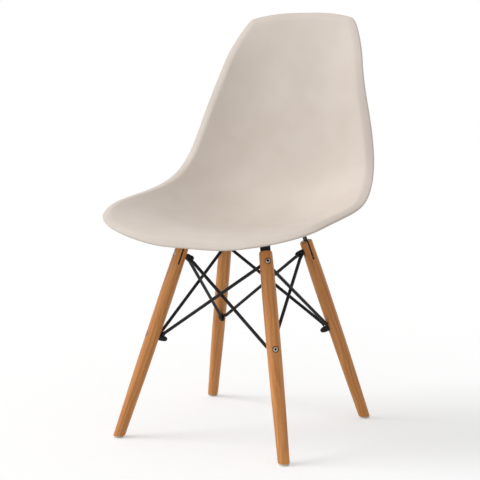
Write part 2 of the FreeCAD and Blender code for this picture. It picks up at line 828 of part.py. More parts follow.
def make_nut(leg, level):
    """A domed cap nut on the inner end of a cross bolt."""
    body = new_body("nut_%s_%s" % (level, leg))
    primitive(body, "AdditivePrism", "hexagon",
              {"Circumradius": "nut_flats / sqrt(3)", "Height": "nut_height"},
              Placement(Vector(0, 0, -size("nut_height")), Rotation()), Polygon=6)
    dome = "nut_dome_diameter / 2"
    tip = "-nut_height - nut_dome_height"
    revolve(body, "dome", [
        ("0", "-nut_height / 2"), ("0", tip), (dome, "-nut_height"), (dome, "-nut_height / 2")],
        {1: ("%s * 0.74" % dome, "-nut_height - nut_dome_height * 0.67")})
    bore(body, "thread", Vector(), Vector(0, 0, -1), "screw_diameter + 2 * screw_clearance",
         "nut_thread_depth")
    stack = size("spacer_thickness") + 2 * size("eye_thickness")
    body.Placement = bolt_frame(leg, level, -size(level + "_spot_face") - stack)
    return body


# Brace rods

def eye_place(leg, level, layer):
    """The middle of a rod's flattened eye, and the outward direction of its bolt."""
    depth = size(level + "_spot_face") + size("spacer_thickness")
    depth += (layer + 0.5) * size("eye_thickness")
    frame = bolt_frame(leg, level, -depth)
    return frame.Base, frame.Rotation.multVec(Vector(0, 0, 1))


def rod_end(place, outward, other, kick):
    """The corner where a rod leaves its neck, kicked along the bolt to pass its twin."""
    run = other - place
    in_plane = (run - outward * run.dot(outward)).normalize()
    return place + in_plane * size("rod_neck") + outward * kick


def neck_end(place, outward, corner):
    """Where the flat neck beside an eye ends, just past the eye's rim."""
    run = corner - place
    in_plane = (run - outward * run.dot(outward)).normalize()
    return place + in_plane * (size("eye_diameter") / 2 + size("eye_margin"))


def flattened_end(place, outward, neck, bend_start):
    """A round eye with a flat neck, and the paddle that swells into the round rod."""
    half_thickness = size("eye_thickness") / 2
    radius = size("eye_diameter") / 2
    half_width = size("neck_width") / 2
    in_plane = (neck - place).normalize()
    broad = outward.cross(in_plane).normalize()
    side = broad * half_width
    under = place - outward * half_thickness
    join = under + in_plane * math.sqrt(radius ** 2 - half_width ** 2)
    tip = neck - outward * half_thickness
    rim = Part.Wire([
        Part.Arc(join + side, under - in_plane * radius, join - side).toShape(),
        Part.makeLine(join - side, tip - side),
        Part.makeLine(tip - side, tip + side),
        Part.makeLine(tip + side, join + side)])
    hole = Part.Wire(Part.makeCircle(size("bolt_hole_diameter") / 2, under, outward))
    eye = Part.makeFace([rim, hole], "Part::FaceMakerBullseye").extrude(outward * (2 * half_thickness))

    along = (bend_start - neck).normalize()
    upright = broad.cross(along).normalize()
    flat_corners = []
    round_corners = []
    for across, above in ((1, 1), (-1, 1), (-1, -1), (1, -1)):
        flat_corners.append(neck + side * across + outward * (half_thickness * above))
        diagonal = (broad * across + upright * above).normalize()
        round_corners.append(bend_start + diagonal * (size("rod_diameter") / 2))
    arcs = []
    for index, corner in enumerate(round_corners):
        following = round_corners[(index + 1) % 4]
        bulge = ((corner + following) / 2 - bend_start).normalize() * (size("rod_diameter") / 2)
        arcs.append(Part.Arc(corner, bend_start + bulge, following).toShape())
    flat_wire = Part.makePolygon(flat_corners + flat_corners[:1])
    paddle = Part.makeLoft([flat_wire, Part.Wire(arcs)], True, True)
    return [eye, paddle]


def straight_run(start, end):
    """A round bar from one point to another."""
    run = end - start
    return Part.makeCylinder(size("rod_diameter") / 2, run.Length, start, run)


def bent_run(before, corner, after):
    """The round bend at a corner. Also says where it starts and where it ends."""
    inward = (before - corner).normalize()
    onward = (after - corner).normalize()
    turn = math.pi - inward.getAngle(onward)
    back = size("rod_bend") * math.tan(turn / 2)
    start = corner + inward * back
    end = corner + onward * back
    bisector = (inward + onward).normalize()
    centre = corner + bisector * (size("rod_bend") / math.cos(turn / 2))
    axis = (start - centre).cross(end - centre).normalize()
    disc = Part.Face(Part.Wire(Part.makeCircle(size("rod_diameter") / 2, start, inward)))
    return disc.revolve(centre, axis, math.degrees(turn)), start, end


def make_brace(name, brace):
    """One brace rod from the upper bolt of a leg to the lower bolt of its neighbour."""
    kick = size("outward_kick") if brace.outward else -size("inward_kick")
    upper, upper_out = eye_place(brace.upper, "upper", brace.layer)
    lower, lower_out = eye_place(brace.lower, "lower", brace.layer)
    first = rod_end(upper, upper_out, lower, kick)
    second = rod_end(lower, lower_out, upper, kick)
    upper_neck = neck_end(upper, upper_out, first)
    lower_neck = neck_end(lower, lower_out, second)
    first_bend, first_start, first_finish = bent_run(upper_neck, first, second)
    second_bend, second_start, second_finish = bent_run(first, second, lower_neck)
    shape = straight_run(first_finish, second_start).fuse([
        first_bend, second_bend,
        *flattened_end(upper, upper_out, upper_neck, first_start),
        *flattened_end(lower, lower_out, lower_neck, second_finish)])
    shape_feature(name, shape)


# The whole chair

def build():
    """Makes every sub-part."""
    make_seat_shell()
    for leg in LEGS:
        make_leg(leg)
        make_glide(leg)
        make_bracket(leg)
        make_pad(leg)
    for name, brace in BRACES.items():
        make_brace(name, brace)
    group("seat_inserts", [make_insert(leg) for leg in LEGS])
    group("seat_washers", [make_washer(leg) for leg in LEGS])
    group("seat_screws", [make_seat_screw(leg) for leg in LEGS])
    for level in LEVELS:
        group("leg_bolts_" + level, [make_leg_bolt(leg, level) for leg in LEGS])
        group("spacers_" + level, [make_spacer(leg, level) for leg in LEGS])
        group("dome_nuts_" + level, [make_nut(leg, level) for leg in LEGS])


def nodes():
    """The sub-parts to write: every named piece that no group holds."""
    held = [body for item in doc.Objects if item.isDerivedFrom("Part::Compound") for body in item.Links]
    kinds = ("PartDesign::Body", "Part::Compound", "Part::Feature")
    return [item for item in doc.Objects if item.TypeId in kinds and item not in held]


def check():
    """Stops on any object that failed, or any sub-part without a sound shape."""
    for item in doc.Objects:
        if "Invalid" in item.State or "Error" in item.State:
            raise RuntimeError("%s failed: %s" % (item.Name, item.State))
    for node in nodes():
        if node.Shape.isNull() or not node.Shape.isValid() or node.Shape.Volume <= 0:
            raise RuntimeError("%s has no sound shape" % node.Label)


def write():
    """Writes each sub-part to its own file."""
    os.makedirs("parts", exist_ok=True)
    for node in nodes():
        node.Shape.exportStep("parts/%s.step" % node.Label)
        box = node.Shape.BoundBox
        print("%-22s %2d solids  %8.1f cm3  x %7.1f %7.1f  y %7.1f %7.1f  z %6.1f %6.1f" % (
            node.Label, len(node.Shape.Solids), node.Shape.Volume / 1000,
            box.XMin, box.XMax, box.YMin, box.YMax, box.ZMin, box.ZMax))


build()
doc.recompute()
check()
write()
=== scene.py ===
"""The looks of a side chair: a moulded plastic shell on four turned legs tied by crossed rods.

Everything is in metres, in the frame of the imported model: +Z up, the sitter faces -Y, and the
origin is on the floor under the middle of the chair. SeatShell alone works in millimetres.
"""

import logging
import math
from contextlib import contextmanager
from dataclasses import dataclass
from enum import Enum
from functools import cached_property, lru_cache
from typing import Any, Callable, Iterator, Sequence

import bmesh
import bpy
from mathutils import Matrix, Vector
from mathutils.kdtree import KDTree


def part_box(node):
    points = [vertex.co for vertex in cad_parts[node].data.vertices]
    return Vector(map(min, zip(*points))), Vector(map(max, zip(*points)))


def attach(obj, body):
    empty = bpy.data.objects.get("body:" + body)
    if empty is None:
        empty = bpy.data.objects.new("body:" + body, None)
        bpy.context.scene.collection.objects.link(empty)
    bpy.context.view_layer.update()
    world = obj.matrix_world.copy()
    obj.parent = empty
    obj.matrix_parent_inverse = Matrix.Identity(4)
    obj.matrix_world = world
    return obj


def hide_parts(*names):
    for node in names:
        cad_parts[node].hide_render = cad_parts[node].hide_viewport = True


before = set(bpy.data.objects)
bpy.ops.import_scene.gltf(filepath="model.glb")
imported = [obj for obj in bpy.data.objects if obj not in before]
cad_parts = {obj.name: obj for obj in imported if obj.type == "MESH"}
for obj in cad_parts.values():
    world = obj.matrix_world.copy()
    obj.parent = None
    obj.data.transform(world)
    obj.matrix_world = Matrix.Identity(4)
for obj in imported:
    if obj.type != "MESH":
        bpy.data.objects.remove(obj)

log = logging.getLogger("shell_chair")
BODY = "root"
MM = 0.001
UP = Vector((0, 0, 1))
Colour = tuple[float, float, float, float]
Waves = tuple[float, float, float]
Grid = list[list[Vector]]
Profile = list[tuple[float, float]]


# Shader building

def rgb(*screen: int) -> Colour:
    """Turns a colour as a screen shows it (0 to 255) into the linear values that shaders use."""
    shares = [value / 255 for value in screen]
    return (*(share / 12.92 if share <= 0.04045 else ((share + 0.055) / 1.055) ** 2.4
              for share in shares), 1.0)


def operator(operation: str, swapped: bool = False) -> Callable[["Value", Any], "Value"]:
    """Makes one of Value's operators from the operation of a Math node.

    Args:
        operation: The operation.
        swapped: Whether the other value comes first.

    Returns:
        The method.
    """
    def adds_node(own: "Value", other: Any) -> "Value":
        """Adds the Math node."""
        return own.maths(operation, *((other, own) if swapped else (own, other)))
    return adds_node


class Value:
    """One output of a shader node, with Python's operators for the maths on it."""

    def __init__(self, shader: "Shader", socket: bpy.types.NodeSocket) -> None:
        """Wraps a socket of a shader's tree."""
        self.shader = shader
        self.socket = socket

    def maths(self, operation: str, *operands: Any) -> "Value":
        """Adds one Math node."""
        return self.shader.node("ShaderNodeMath", {"operation": operation},
                                dict(enumerate(operands)))

    __add__ = operator("ADD")
    __radd__ = operator("ADD", swapped=True)
    __sub__ = operator("SUBTRACT")
    __rsub__ = operator("SUBTRACT", swapped=True)
    __mul__ = operator("MULTIPLY")

    def sine(self) -> "Value":
        """Sine of an angle in radians."""
        return self.maths("SINE", self)

    def clamped(self, low: float, high: float) -> "Value":
        """Maps the range from low to high to 0 to 1, and holds it there."""
        return self.shader.node("ShaderNodeMapRange", {"clamp": True},
                                {"Value": self, "From Min": low, "From Max": high})


class Shader:
    """The node tree of a material or of the world, built node by node."""

    def __init__(self, owner: bpy.types.ID, output: str = "ShaderNodeOutputMaterial") -> None:
        """Empties the owner's tree but for an output.

        Args:
            owner: The material or the world.
            output: The type of its output node.
        """
        owner.use_nodes = True
        self.owner = owner
        self.tree = owner.node_tree
        self.tree.nodes.clear()
        self.output = self.tree.nodes.new(output)

    def feed(self, socket: bpy.types.NodeSocket, given: Any) -> None:
        """Links a Value to a socket, or sets a constant on it.

        Args:
            socket: The input.
            given: The Value or the constant.
        """
        if isinstance(given, Value):
            self.tree.links.new(given.socket, socket)
        else:
            socket.default_value = given

    def node(self, kind: str, settings: dict[str, Any], inputs: dict[Any, Any],
             output: Any = 0) -> Value:
        """Adds any node.

        Args:
            kind: The node's type.
            settings: Attributes of the node, set before its sockets.
            inputs: Numbers, colours or Values, by socket name or number.
            output: The socket that is wanted, by name or number.

        Returns:
            The wanted output.
        """
        made = self.tree.nodes.new(kind)
        for name, setting in settings.items():
            setattr(made, name, setting)
        for name, given in inputs.items():
            self.feed(made.inputs[name], given)
        return Value(self, made.outputs[output])

    def mixed(self, share: Any, first: Any, second: Any) -> Value:
        """Mixes two colours.

        Args:
            share: How much of the second there is, from 0 to 1.
            first: A colour or a Value.
            second: A colour or a Value.

        Returns:
            The colour between them.
        """
        made = self.tree.nodes.new("ShaderNodeMix")
        made.data_type = "RGBA"
        colours = [socket for socket in made.inputs if socket.type == "RGBA"]
        for socket, given in zip([made.inputs["Factor"], *colours], (share, first, second)):
            self.feed(socket, given)
        return Value(self, next(item for item in made.outputs if item.type == "RGBA"))

    def place(self) -> Value:
        """The place in the chair's frame."""
        return self.node("ShaderNodeTexCoord", {}, {}, "Object")

    def attribute(self, name: str, output: str) -> Value:
        """What the mesh has under a name."""
        return self.node("ShaderNodeAttribute", {"attribute_name": name}, {}, output)

    def noise(self, place: Value, waves: float | Waves, detail: float,
              rough: float = 0.5, distortion: float = 0) -> Value:
        """Adds smooth noise about 0.5.

        Args:
            place: Where it is read.
            waves: Waves in a metre, one number or one for each axis.
            detail: How many finer layers lie on the first.
            rough: How strong each layer is beside the one before.
            distortion: How far it is bent by itself.

        Returns:
            The noise.
        """
        scale = waves if isinstance(waves, tuple) else (waves,) * 3
        return self.node("ShaderNodeTexNoise", {}, {
            "Vector": self.node("ShaderNodeMapping", {}, {"Vector": place, "Scale": scale}),
            "Scale": 1, "Detail": detail, "Roughness": rough, "Distortion": distortion})

    def bump(self, height: Value, depth: float) -> Value:
        """Turns a height from 0 to 1 into a normal; depth is in metres."""
        return self.node("ShaderNodeBump", {}, {"Height": height, "Distance": depth,
                                                "Strength": 1.0})

    def ended(self, last: Value) -> Any:
        """Leads a value to the output, and gives the owner."""
        self.feed(self.output.inputs["Surface"], last)
        return self.owner

    def surface(self, **sockets: Any) -> bpy.types.Material:
        """Ends on a Principled surface; its sockets are named with underscores for spaces."""
        inputs = {name.replace("_", " "): given for name, given in sockets.items()}
        return self.ended(self.node("ShaderNodeBsdfPrincipled", {}, inputs))


# Finishes; their waves are counted in a metre

@dataclass(frozen=True)
class MouldedPlastic:
    """Through-coloured polypropylene with the fine grain of the mould."""
    colour: Colour = rgb(216, 205, 195)
    shade: Colour = rgb(212, 200, 189)
    swirl: float = 60 * MM
    swirl_range: tuple[float, float] = (0.35, 0.65)
    pore: float = 2.25 * MM
    grain: float = 0.45 * MM
    relief: float = 0.012 * MM
    roughness: float = 0.52
    specular: float = 0.42

    def material(self) -> bpy.types.Material:
        """Builds the material.

        Returns:
            The material.
        """
        shader = Shader(bpy.data.materials.new("moulded_plastic"))
        place = shader.place()
        wide = shader.noise(place, 1 / self.swirl, 3)
        pores = shader.noise(place, 1 / self.pore, 2)
        fine = shader.noise(place, 1 / self.grain, 2, 0.6)
        return shader.surface(
            Base_Color=shader.mixed(wide.clamped(*self.swirl_range), self.shade, self.colour),
            Roughness=self.roughness + (wide - 0.5) * 0.10 + (pores - 0.5) * 0.08,
            Normal=shader.bump(fine * 0.75 + pores * 0.5, self.relief),
            Specular_IOR_Level=self.specular)


@dataclass(frozen=True)
class OiledBeech:
    """Turned beech under an amber oil: rings, long bands, fibres and short flecks."""
    light: Colour = rgb(231, 161, 86)
    dark: Colour = rgb(178, 107, 46)
    fleck: Colour = rgb(136, 76, 32)
    ring: float = 6.5 * MM
    ring_drift: float = 34
    ring_share: float = 0.14
    fibre_share: float = 0.30
    fleck_share: float = 0.24
    tone_range: tuple[float, float] = (0.24, 0.80)
    fleck_range: tuple[float, float] = (0.60, 0.72)
    drift_waves: Waves = (16, 16, 5)
    band_waves: Waves = (170, 170, 5)
    fibre_waves: Waves = (1500, 1500, 36)
    fleck_waves: Waves = (1250, 1250, 190)
    relief: float = 0.05 * MM
    roughness: float = 0.42
    coat: float = 0.06
    coat_roughness: float = 0.35

    def material(self) -> bpy.types.Material:
        """Builds the material; it reads each leg's own places, Z along the grain.

        Returns:
            The material.
        """
        shader = Shader(bpy.data.materials.new("oiled_beech"))
        place = shader.attribute(Leg.GRAIN, "Vector")
        across = shader.node("ShaderNodeSeparateXYZ", {}, {"Vector": place}, "X")
        drift = shader.noise(place, self.drift_waves, 2)
        bands = shader.noise(place, self.band_waves, 3, 0.55, 0.3)
        fibres = shader.noise(place, self.fibre_waves, 2, 0.6)
        dashes = shader.noise(place, self.fleck_waves, 1)
        flecks = dashes.clamped(*self.fleck_range) * self.fleck_share
        turns = across * (2 * math.pi / self.ring) + drift * self.ring_drift + bands * 2
        rings = (turns.sine() + 1) * 0.5
        tone = (rings * self.ring_share + bands * (1 - self.ring_share) +
                (fibres - 0.5) * self.fibre_share)
        wood = shader.mixed(tone.clamped(*self.tone_range), self.dark, self.light)
        return shader.surface(
            Base_Color=shader.mixed(flecks, wood, self.fleck),
            Roughness=self.roughness + (fibres - 0.5) * 0.25 + flecks * 0.2,
            Normal=shader.bump(fibres * 0.6 - flecks, self.relief),
            Coat_Weight=self.coat, Coat_Roughness=self.coat_roughness)


@dataclass(frozen=True)
class CoatedSteel:
    """Steel under a black powder coat with a slight orange peel."""
    colour: Colour = rgb(20, 20, 21)
    worn: Colour = rgb(34, 34, 35)
    dust_waves: float = 30
    dust_range: tuple[float, float] = (0.45, 0.75)
    peel: float = 1.6 * MM
    relief: float = 0.03 * MM
    roughness: float = 0.50
    specular: float = 0.25

    def material(self) -> bpy.types.Material:
        """Builds the material.

        Returns:
            The material.
        """
        shader = Shader(bpy.data.materials.new("black_steel"))
        place = shader.place()
        dust = shader.noise(place, self.dust_waves, 4)
        peel = shader.noise(place, 1 / self.peel, 2)
        return shader.surface(
            Base_Color=shader.mixed(dust.clamped(*self.dust_range), self.colour, self.worn),
            Roughness=self.roughness + (dust - 0.5) * 0.16 + (peel - 0.5) * 0.06,
            Normal=shader.bump(peel, self.relief), Specular_IOR_Level=self.specular)


@dataclass(frozen=True)
class PlatedMetal:
    """Bare or plated metal with fine turning marks, with painted shade in its recesses and on the
    sides of screw heads.
    """
    RECESS = "recess"
    name: str
    colour: Colour
    stain: Colour
    # Painted shade: the dark colour laid where the recess mask is set, in sockets and on head
    # sides.
    oil: Colour = rgb(44, 38, 34)
    cloud_waves: float = 320
    cloud_range: tuple[float, float] = (0.40, 0.70)
    mark_waves: float = 2600
    relief: float = 0.006 * MM
    roughness: float = 0.34

    def material(self) -> bpy.types.Material:
        """Builds the material.

        Returns:
            The material.
        """
        shader = Shader(bpy.data.materials.new(self.name))
        place = shader.place()
        cloud = shader.noise(place, self.cloud_waves, 3)
        marks = shader.noise(place, self.mark_waves, 1)
        # The recess mask says where painted shade goes: a darker, rougher metal where shade falls
        # in the socket and round the head.
        recess = shader.attribute(self.RECESS, "Fac")
        metal = shader.mixed(cloud.clamped(*self.cloud_range), self.colour, self.stain)
        return shader.surface(
            Base_Color=shader.mixed(recess, metal, self.oil), Metallic=1.0,
            Roughness=self.roughness + (cloud - 0.5) * 0.3 + recess * 0.3,
            Normal=shader.bump(marks, self.relief))


@dataclass(frozen=True)
class SoftPlastic:
    """Nylon or rubber, matt, with small moulding marks."""
    name: str
    colour: Colour
    scuffed: Colour
    roughness: float = 0.5
    cloud_waves: float = 240
    cloud_range: tuple[float, float] = (0.45, 0.75)
    mark_waves: float = 1800
    relief: float = 0.02 * MM

    def material(self) -> bpy.types.Material:
        """Builds the material.

        Returns:
            The material.
        """
        shader = Shader(bpy.data.materials.new(self.name))
        place = shader.place()
        cloud = shader.noise(place, self.cloud_waves, 3)
        marks = shader.noise(place, self.mark_waves, 2)
        return shader.surface(
            Base_Color=shader.mixed(cloud.clamped(*self.cloud_range), self.colour, self.scuffed),
            Roughness=self.roughness + (cloud - 0.5) * 0.25,
            Normal=shader.bump(marks, self.relief))


class Finish(Enum):
    """Every finish on the chair, by the record's name for it."""
    SHELL = "shell"
    BEECH = "beech"
    BLACK_STEEL = "black_steel"
    STEEL = "steel"
    BRASS = "brass"
    NYLON = "nylon"
    RUBBER = "rubber"


@lru_cache(maxsize=None)
def material_of(finish: Finish) -> bpy.types.Material:
    """Builds the material of a finish, once."""
    return {
        Finish.SHELL: MouldedPlastic(),
        Finish.BEECH: OiledBeech(),
        Finish.BLACK_STEEL: CoatedSteel(),
        Finish.STEEL: PlatedMetal("plated_steel", rgb(205, 205, 203), rgb(165, 164, 161)),
        Finish.BRASS: PlatedMetal("brass", rgb(196, 160, 92), rgb(150, 116, 62)),
        Finish.NYLON: SoftPlastic("nylon", rgb(226, 222, 212), rgb(206, 200, 188)),
        Finish.RUBBER: SoftPlastic("rubber", rgb(38, 38, 39), rgb(52, 51, 50), 0.7),
    }[finish].material()


# Frames and arcs

def arc(turn: float, steps: int) -> list[tuple[float, float]]:
    """Cosine and sine at each even step of a turn, after its start."""
    angles = [turn * step / steps for step in range(1, steps + 1)]
    return [(math.cos(angle), math.sin(angle)) for angle in angles]


def oval(wide: float, thick: float) -> Matrix:
    """Sizes a disc of radius 1."""
    return Matrix.Diagonal((wide, thick, 1, 1))


def framed(at: Vector, x: Vector, y: Vector, z: Vector) -> Matrix:
    """A frame at a place, from the directions of its axes."""
    return Matrix.Translation(at) @ Matrix((x, y, z)).transposed().to_4x4()


def pointed(at: Vector, way: Vector) -> Matrix:
    """A frame at a place whose Z axis points a way."""
    return Matrix.Translation(at) @ way.to_track_quat("Z", "Y").to_matrix().to_4x4()


# Modelling with operators

class Workpiece:
    """One mesh object that is swept, cut and rounded with Blender's operators."""

    def __init__(self, made: bpy.types.Object, name: str) -> None:
        """Takes up a mesh object and names it.

        Args:
            made: The object.
            name: The piece's name.
        """
        self.object = made
        made.name = made.data.name = name

    @classmethod
    def disc(cls, name: str, sides: int = 48, turn: float = 0.0) -> "Workpiece":
        """Starts from a disc of radius 1 in the XY plane.

        Args:
            name: The piece's name.
            sides: How many corners the disc has.
            turn: How far it is turned, in radians.

        Returns:
            The flat piece.
        """
        bpy.ops.object.select_all(action="DESELECT")
        bpy.ops.mesh.primitive_circle_add(vertices=sides, radius=1, fill_type="NGON",
                                          rotation=(0, 0, turn))
        bpy.ops.object.transform_apply(location=True, rotation=True, scale=True)
        return cls(bpy.context.object, name)

    @property
    def mesh(self) -> bpy.types.Mesh:
        """The mesh."""
        return self.object.data

    def select(self) -> None:
        """Makes this the only selected object."""
        bpy.ops.object.select_all(action="DESELECT")
        self.object.select_set(True)
        bpy.context.view_layer.objects.active = self.object

    @contextmanager
    def edited(self, pick: str = "SELECT") -> Iterator[None]:
        """Holds edit mode open.

        Args:
            pick: SELECT to start with everything picked, or DESELECT with nothing.

        Returns:
            A context in which the piece is edited.
        """
        self.select()
        bpy.ops.object.mode_set(mode="EDIT")
        bpy.ops.mesh.select_all(action=pick)
        yield
        bpy.ops.object.mode_set(mode="OBJECT")

    def _move(self, matrix: Matrix) -> None:
        """Moves what is picked in edit mode.

        Args:
            matrix: The way from the old places to the new.
        """
        mesh = bmesh.from_edit_mesh(self.mesh)
        bmesh.ops.transform(mesh, matrix=matrix, verts=[v for v in mesh.verts if v.select])
        bmesh.update_edit_mesh(self.mesh)

    def sweep(self, sections: Sequence[Matrix]) -> "Workpiece":
        """Extrudes the disc from section to section.

        Args:
            sections: Where the disc of radius 1 goes, one matrix for each section.

        Returns:
            This piece, closed at both ends.
        """
        with self.edited():
            self._move(sections[0])
            for before, after in zip(sections, sections[1:]):
                bpy.ops.mesh.extrude_region_move()
                self._move(after @ before.inverted())
            bpy.ops.mesh.select_all(action="SELECT")
            bpy.ops.mesh.normals_make_consistent(inside=False)
        return self

    def turned(self, profile: Profile) -> "Workpiece":
        """Sweeps the disc up the Z axis through (radius, height) pairs, as on a lathe."""
        return self.sweep([Matrix.Translation((0, 0, height)) @ oval(radius, radius)
                           for radius, height in profile])

    def modify(self, kind: str, **settings: Any) -> "Workpiece":
        """Adds a modifier with its settings and applies it.

        Args:
            kind: The modifier's type.
            settings: Its settings, by name.

        Returns:
            This piece.
        """
        self.select()
        modifier = self.object.modifiers.new(kind.lower(), kind)
        for name, setting in settings.items():
            setattr(modifier, name, setting)
        bpy.ops.object.modifier_apply(modifier=modifier.name)
        return self

    def boolean(self, operation: str, *others: "Workpiece") -> "Workpiece":
        """Runs a boolean with each of some other pieces, which are used up.

        Args:
            operation: UNION, DIFFERENCE or INTERSECT.
            others: The other pieces.

        Returns:
            This piece.
        """
        for other in others:
            self.modify("BOOLEAN", operation=operation, solver="EXACT", object=other.object)
            other.remove()
        return self

    def cut(self, *cutters: "Workpiece") -> "Workpiece":
        """Takes other pieces away from this one."""
        return self.boolean("DIFFERENCE", *cutters)

    def unite(self, *others: "Workpiece") -> "Workpiece":
        """Fuses other pieces with this one."""
        return self.boolean("UNION", *others)

    def remove(self) -> None:
        """Deletes this piece."""
        mesh = self.mesh
        bpy.data.objects.remove(self.object)
        bpy.data.meshes.remove(mesh)

    def rounded(self, width: float, steps: int, angle: float) -> "Workpiece":
        """Bevels the edges that are sharper than an angle in degrees."""
        return self.modify("BEVEL", width=width, segments=steps, limit_method="ANGLE",
                           angle_limit=math.radians(angle), use_clamp_overlap=True,
                           harden_normals=False)

    def placed(self, matrix: Matrix) -> "Workpiece":
        """Moves the mesh, so that the object stays at the origin.

        Args:
            matrix: The way from the old places to the new.

        Returns:
            This piece.
        """
        self.mesh.transform(matrix)
        self.mesh.update()
        return self

    def copy(self, name: str) -> "Workpiece":
        """A copy with its own mesh.

        Args:
            name: The copy's name.

        Returns:
            The copy.
        """
        twin = self.object.copy()
        twin.data = self.mesh.copy()
        bpy.context.scene.collection.objects.link(twin)
        return Workpiece(twin, name)

    def join(self, others: Sequence["Workpiece"]) -> "Workpiece":
        """Gathers loose pieces in this object.

        Args:
            others: The pieces, which are used up.

        Returns:
            This piece.
        """
        self.select()
        for other in others:
            other.object.select_set(True)
        bpy.ops.object.join()
        return self

    def dress(self, finish: Finish, *nodes: str, smooth: float = 32) -> None:
        """Gives the piece its finish and its place on the chair.

        Args:
            finish: The finish.
            nodes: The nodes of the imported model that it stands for.
            smooth: Edges sharper than this angle in degrees stay sharp.
        """
        self.select()
        bpy.ops.object.shade_smooth_by_angle(angle=math.radians(smooth), keep_sharp_edges=True)
        self.mesh.materials.clear()
        self.mesh.materials.append(material_of(finish))
        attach(self.object, BODY)
        if nodes:
            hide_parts(*nodes)
        log.info("%-22s %6d faces", self.object.name, len(self.mesh.polygons))


def cylinder(radius: float, start: Vector, end: Vector, sides: int = 48) -> Workpiece:
    """A round cutting tool between two points."""
    way = end - start
    return Workpiece.disc("cylinder", sides).sweep([
        pointed(at, way) @ oval(radius, radius) for at in (start, end)])


def bore(radius: float, height: float, start: float, end: float) -> Workpiece:
    """A round cutting tool that runs along X at a height."""
    return cylinder(radius, Vector((start, 0, height)), Vector((end, 0, height)))


def block(low: Sequence[float], high: Sequence[float]) -> Workpiece:
    """A box between two corners.

    Args:
        low: The corner with the lowest values.
        high: The corner opposite.

    Returns:
        The box.
    """
    half = [(b - a) / 2 * math.sqrt(2) for a, b in zip(low, high)]
    middle = [(a + b) / 2 for a, b in zip(low, high)]
    return Workpiece.disc("block", 4, math.pi / 4).sweep([
        Matrix.Translation((middle[0], middle[1], height)) @ oval(half[0], half[1])
        for height in (low[2], high[2])])


# Where things are

class Named(Enum):
    """Options that the model's names are made from."""

    @property
    def word(self) -> str:
        """The name used in the model."""
        return self.name.lower()


class LegPlace(Named):
    """The four legs, with their sideways and lengthways signs."""
    FRONT_LEFT = (-1, -1)
    FRONT_RIGHT = (1, -1)
    REAR_LEFT = (-1, 1)
    REAR_RIGHT = (1, 1)


class Level(Named):
    """The two cross bolts of a leg: how far each is below the leg's top, and its spot face."""
    UPPER = (19.5 * MM, 11.652 * MM)
    LOWER = (184.5 * MM, 12.371 * MM)


@dataclass(frozen=True)
class Undercarriage:
    """The places that the legs, bolts and brackets share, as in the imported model."""
    shift: float = -21.5 * MM
    foot: tuple[float, float] = (180 * MM, 180 * MM)
    top: tuple[float, float] = (90 * MM, 84 * MM)
    boss_face: float = 387 * MM
    pad: float = 3 * MM
    strip: float = 3 * MM
    tongue_show: float = 11 * MM
    tab_hole_run: float = 22 * MM
    head_seat: float = 8.1 * MM
    spacer: float = 3.45 * MM
    eye: float = 2.6 * MM

    @property
    def tab_level(self) -> float:
        """Height of the middle of the brackets' tabs."""
        return self.boss_face - self.pad - self.strip / 2

    @property
    def top_height(self) -> float:
        """Height of the legs' tops, on their axes."""
        return self.tab_level - self.strip / 2 - self.tongue_show

    @property
    def splay(self) -> float:
        """How far a foot stands out from under its leg's top."""
        return math.hypot(self.foot[0] - self.top[0], self.foot[1] - self.top[1])

    @property
    def length(self) -> float:
        """Length of a leg's axis from the floor."""
        return math.hypot(self.splay, self.top_height)

    @property
    def lean(self) -> float:
        """Lean of a leg from upright, in radians."""
        return math.atan2(self.splay, self.top_height)

    @property
    def corner(self) -> Vector:
        """Where a leg's axis meets the level of the tabs, in the leg's own frame."""
        return Vector((0, 0, self.tab_level / math.cos(self.lean)))

    def leg(self, place: LegPlace) -> Matrix:
        """A leg's own frame: Z up the leg from the floor, X outward and square to it.

        Args:
            place: The leg.

        Returns:
            The frame.
        """
        side, end = place.value
        foot = Vector((side * self.foot[0], end * self.foot[1], 0))
        top = Vector((side * self.top[0], end * self.top[1], self.top_height))
        up_leg = (top - foot).normalized()
        flat = Vector((foot.x - top.x, foot.y - top.y, 0)).normalized()
        outward = flat * math.cos(self.lean) + UP * math.sin(self.lean)
        return framed(foot + Vector((0, self.shift, 0)), outward, up_leg.cross(outward), up_leg)

    def screw(self, place: LegPlace) -> Matrix:
        """The frame of a seat screw on its boss's face: X outward, Z up.

        Args:
            place: The leg that it is over.

        Returns:
            The frame.
        """
        leg = self.leg(place)
        outward = leg.to_3x3() @ Vector((1, 0, 0))
        flat = Vector((outward.x, outward.y, 0)).normalized()
        start = leg @ self.corner - flat * self.tab_hole_run
        return framed(Vector((start.x, start.y, self.boss_face)), flat, UP.cross(flat), UP)

    def bolt(self, place: LegPlace, level: Level, distance: float) -> Matrix:
        """The frame of a cross bolt: Z outward, from the leg's axis by a distance.

        Args:
            place: The leg.
            level: The bolt.
            distance: How far out from the leg's axis it stands.

        Returns:
            The frame.
        """
        height = self.length - level.value[0]
        return (self.leg(place) @ Matrix.Translation((distance, 0, height)) @
                Matrix.Rotation(math.pi / 2, 4, "Y"))


BASE = Undercarriage()


# The seat shell

@dataclass(frozen=True)
class Station:
    """Pulls of the shell's form at one place from the front lip to the top, in millimetres."""
    middle: tuple[float, float]
    edge: tuple[float, float, float]
    rim_drop: float


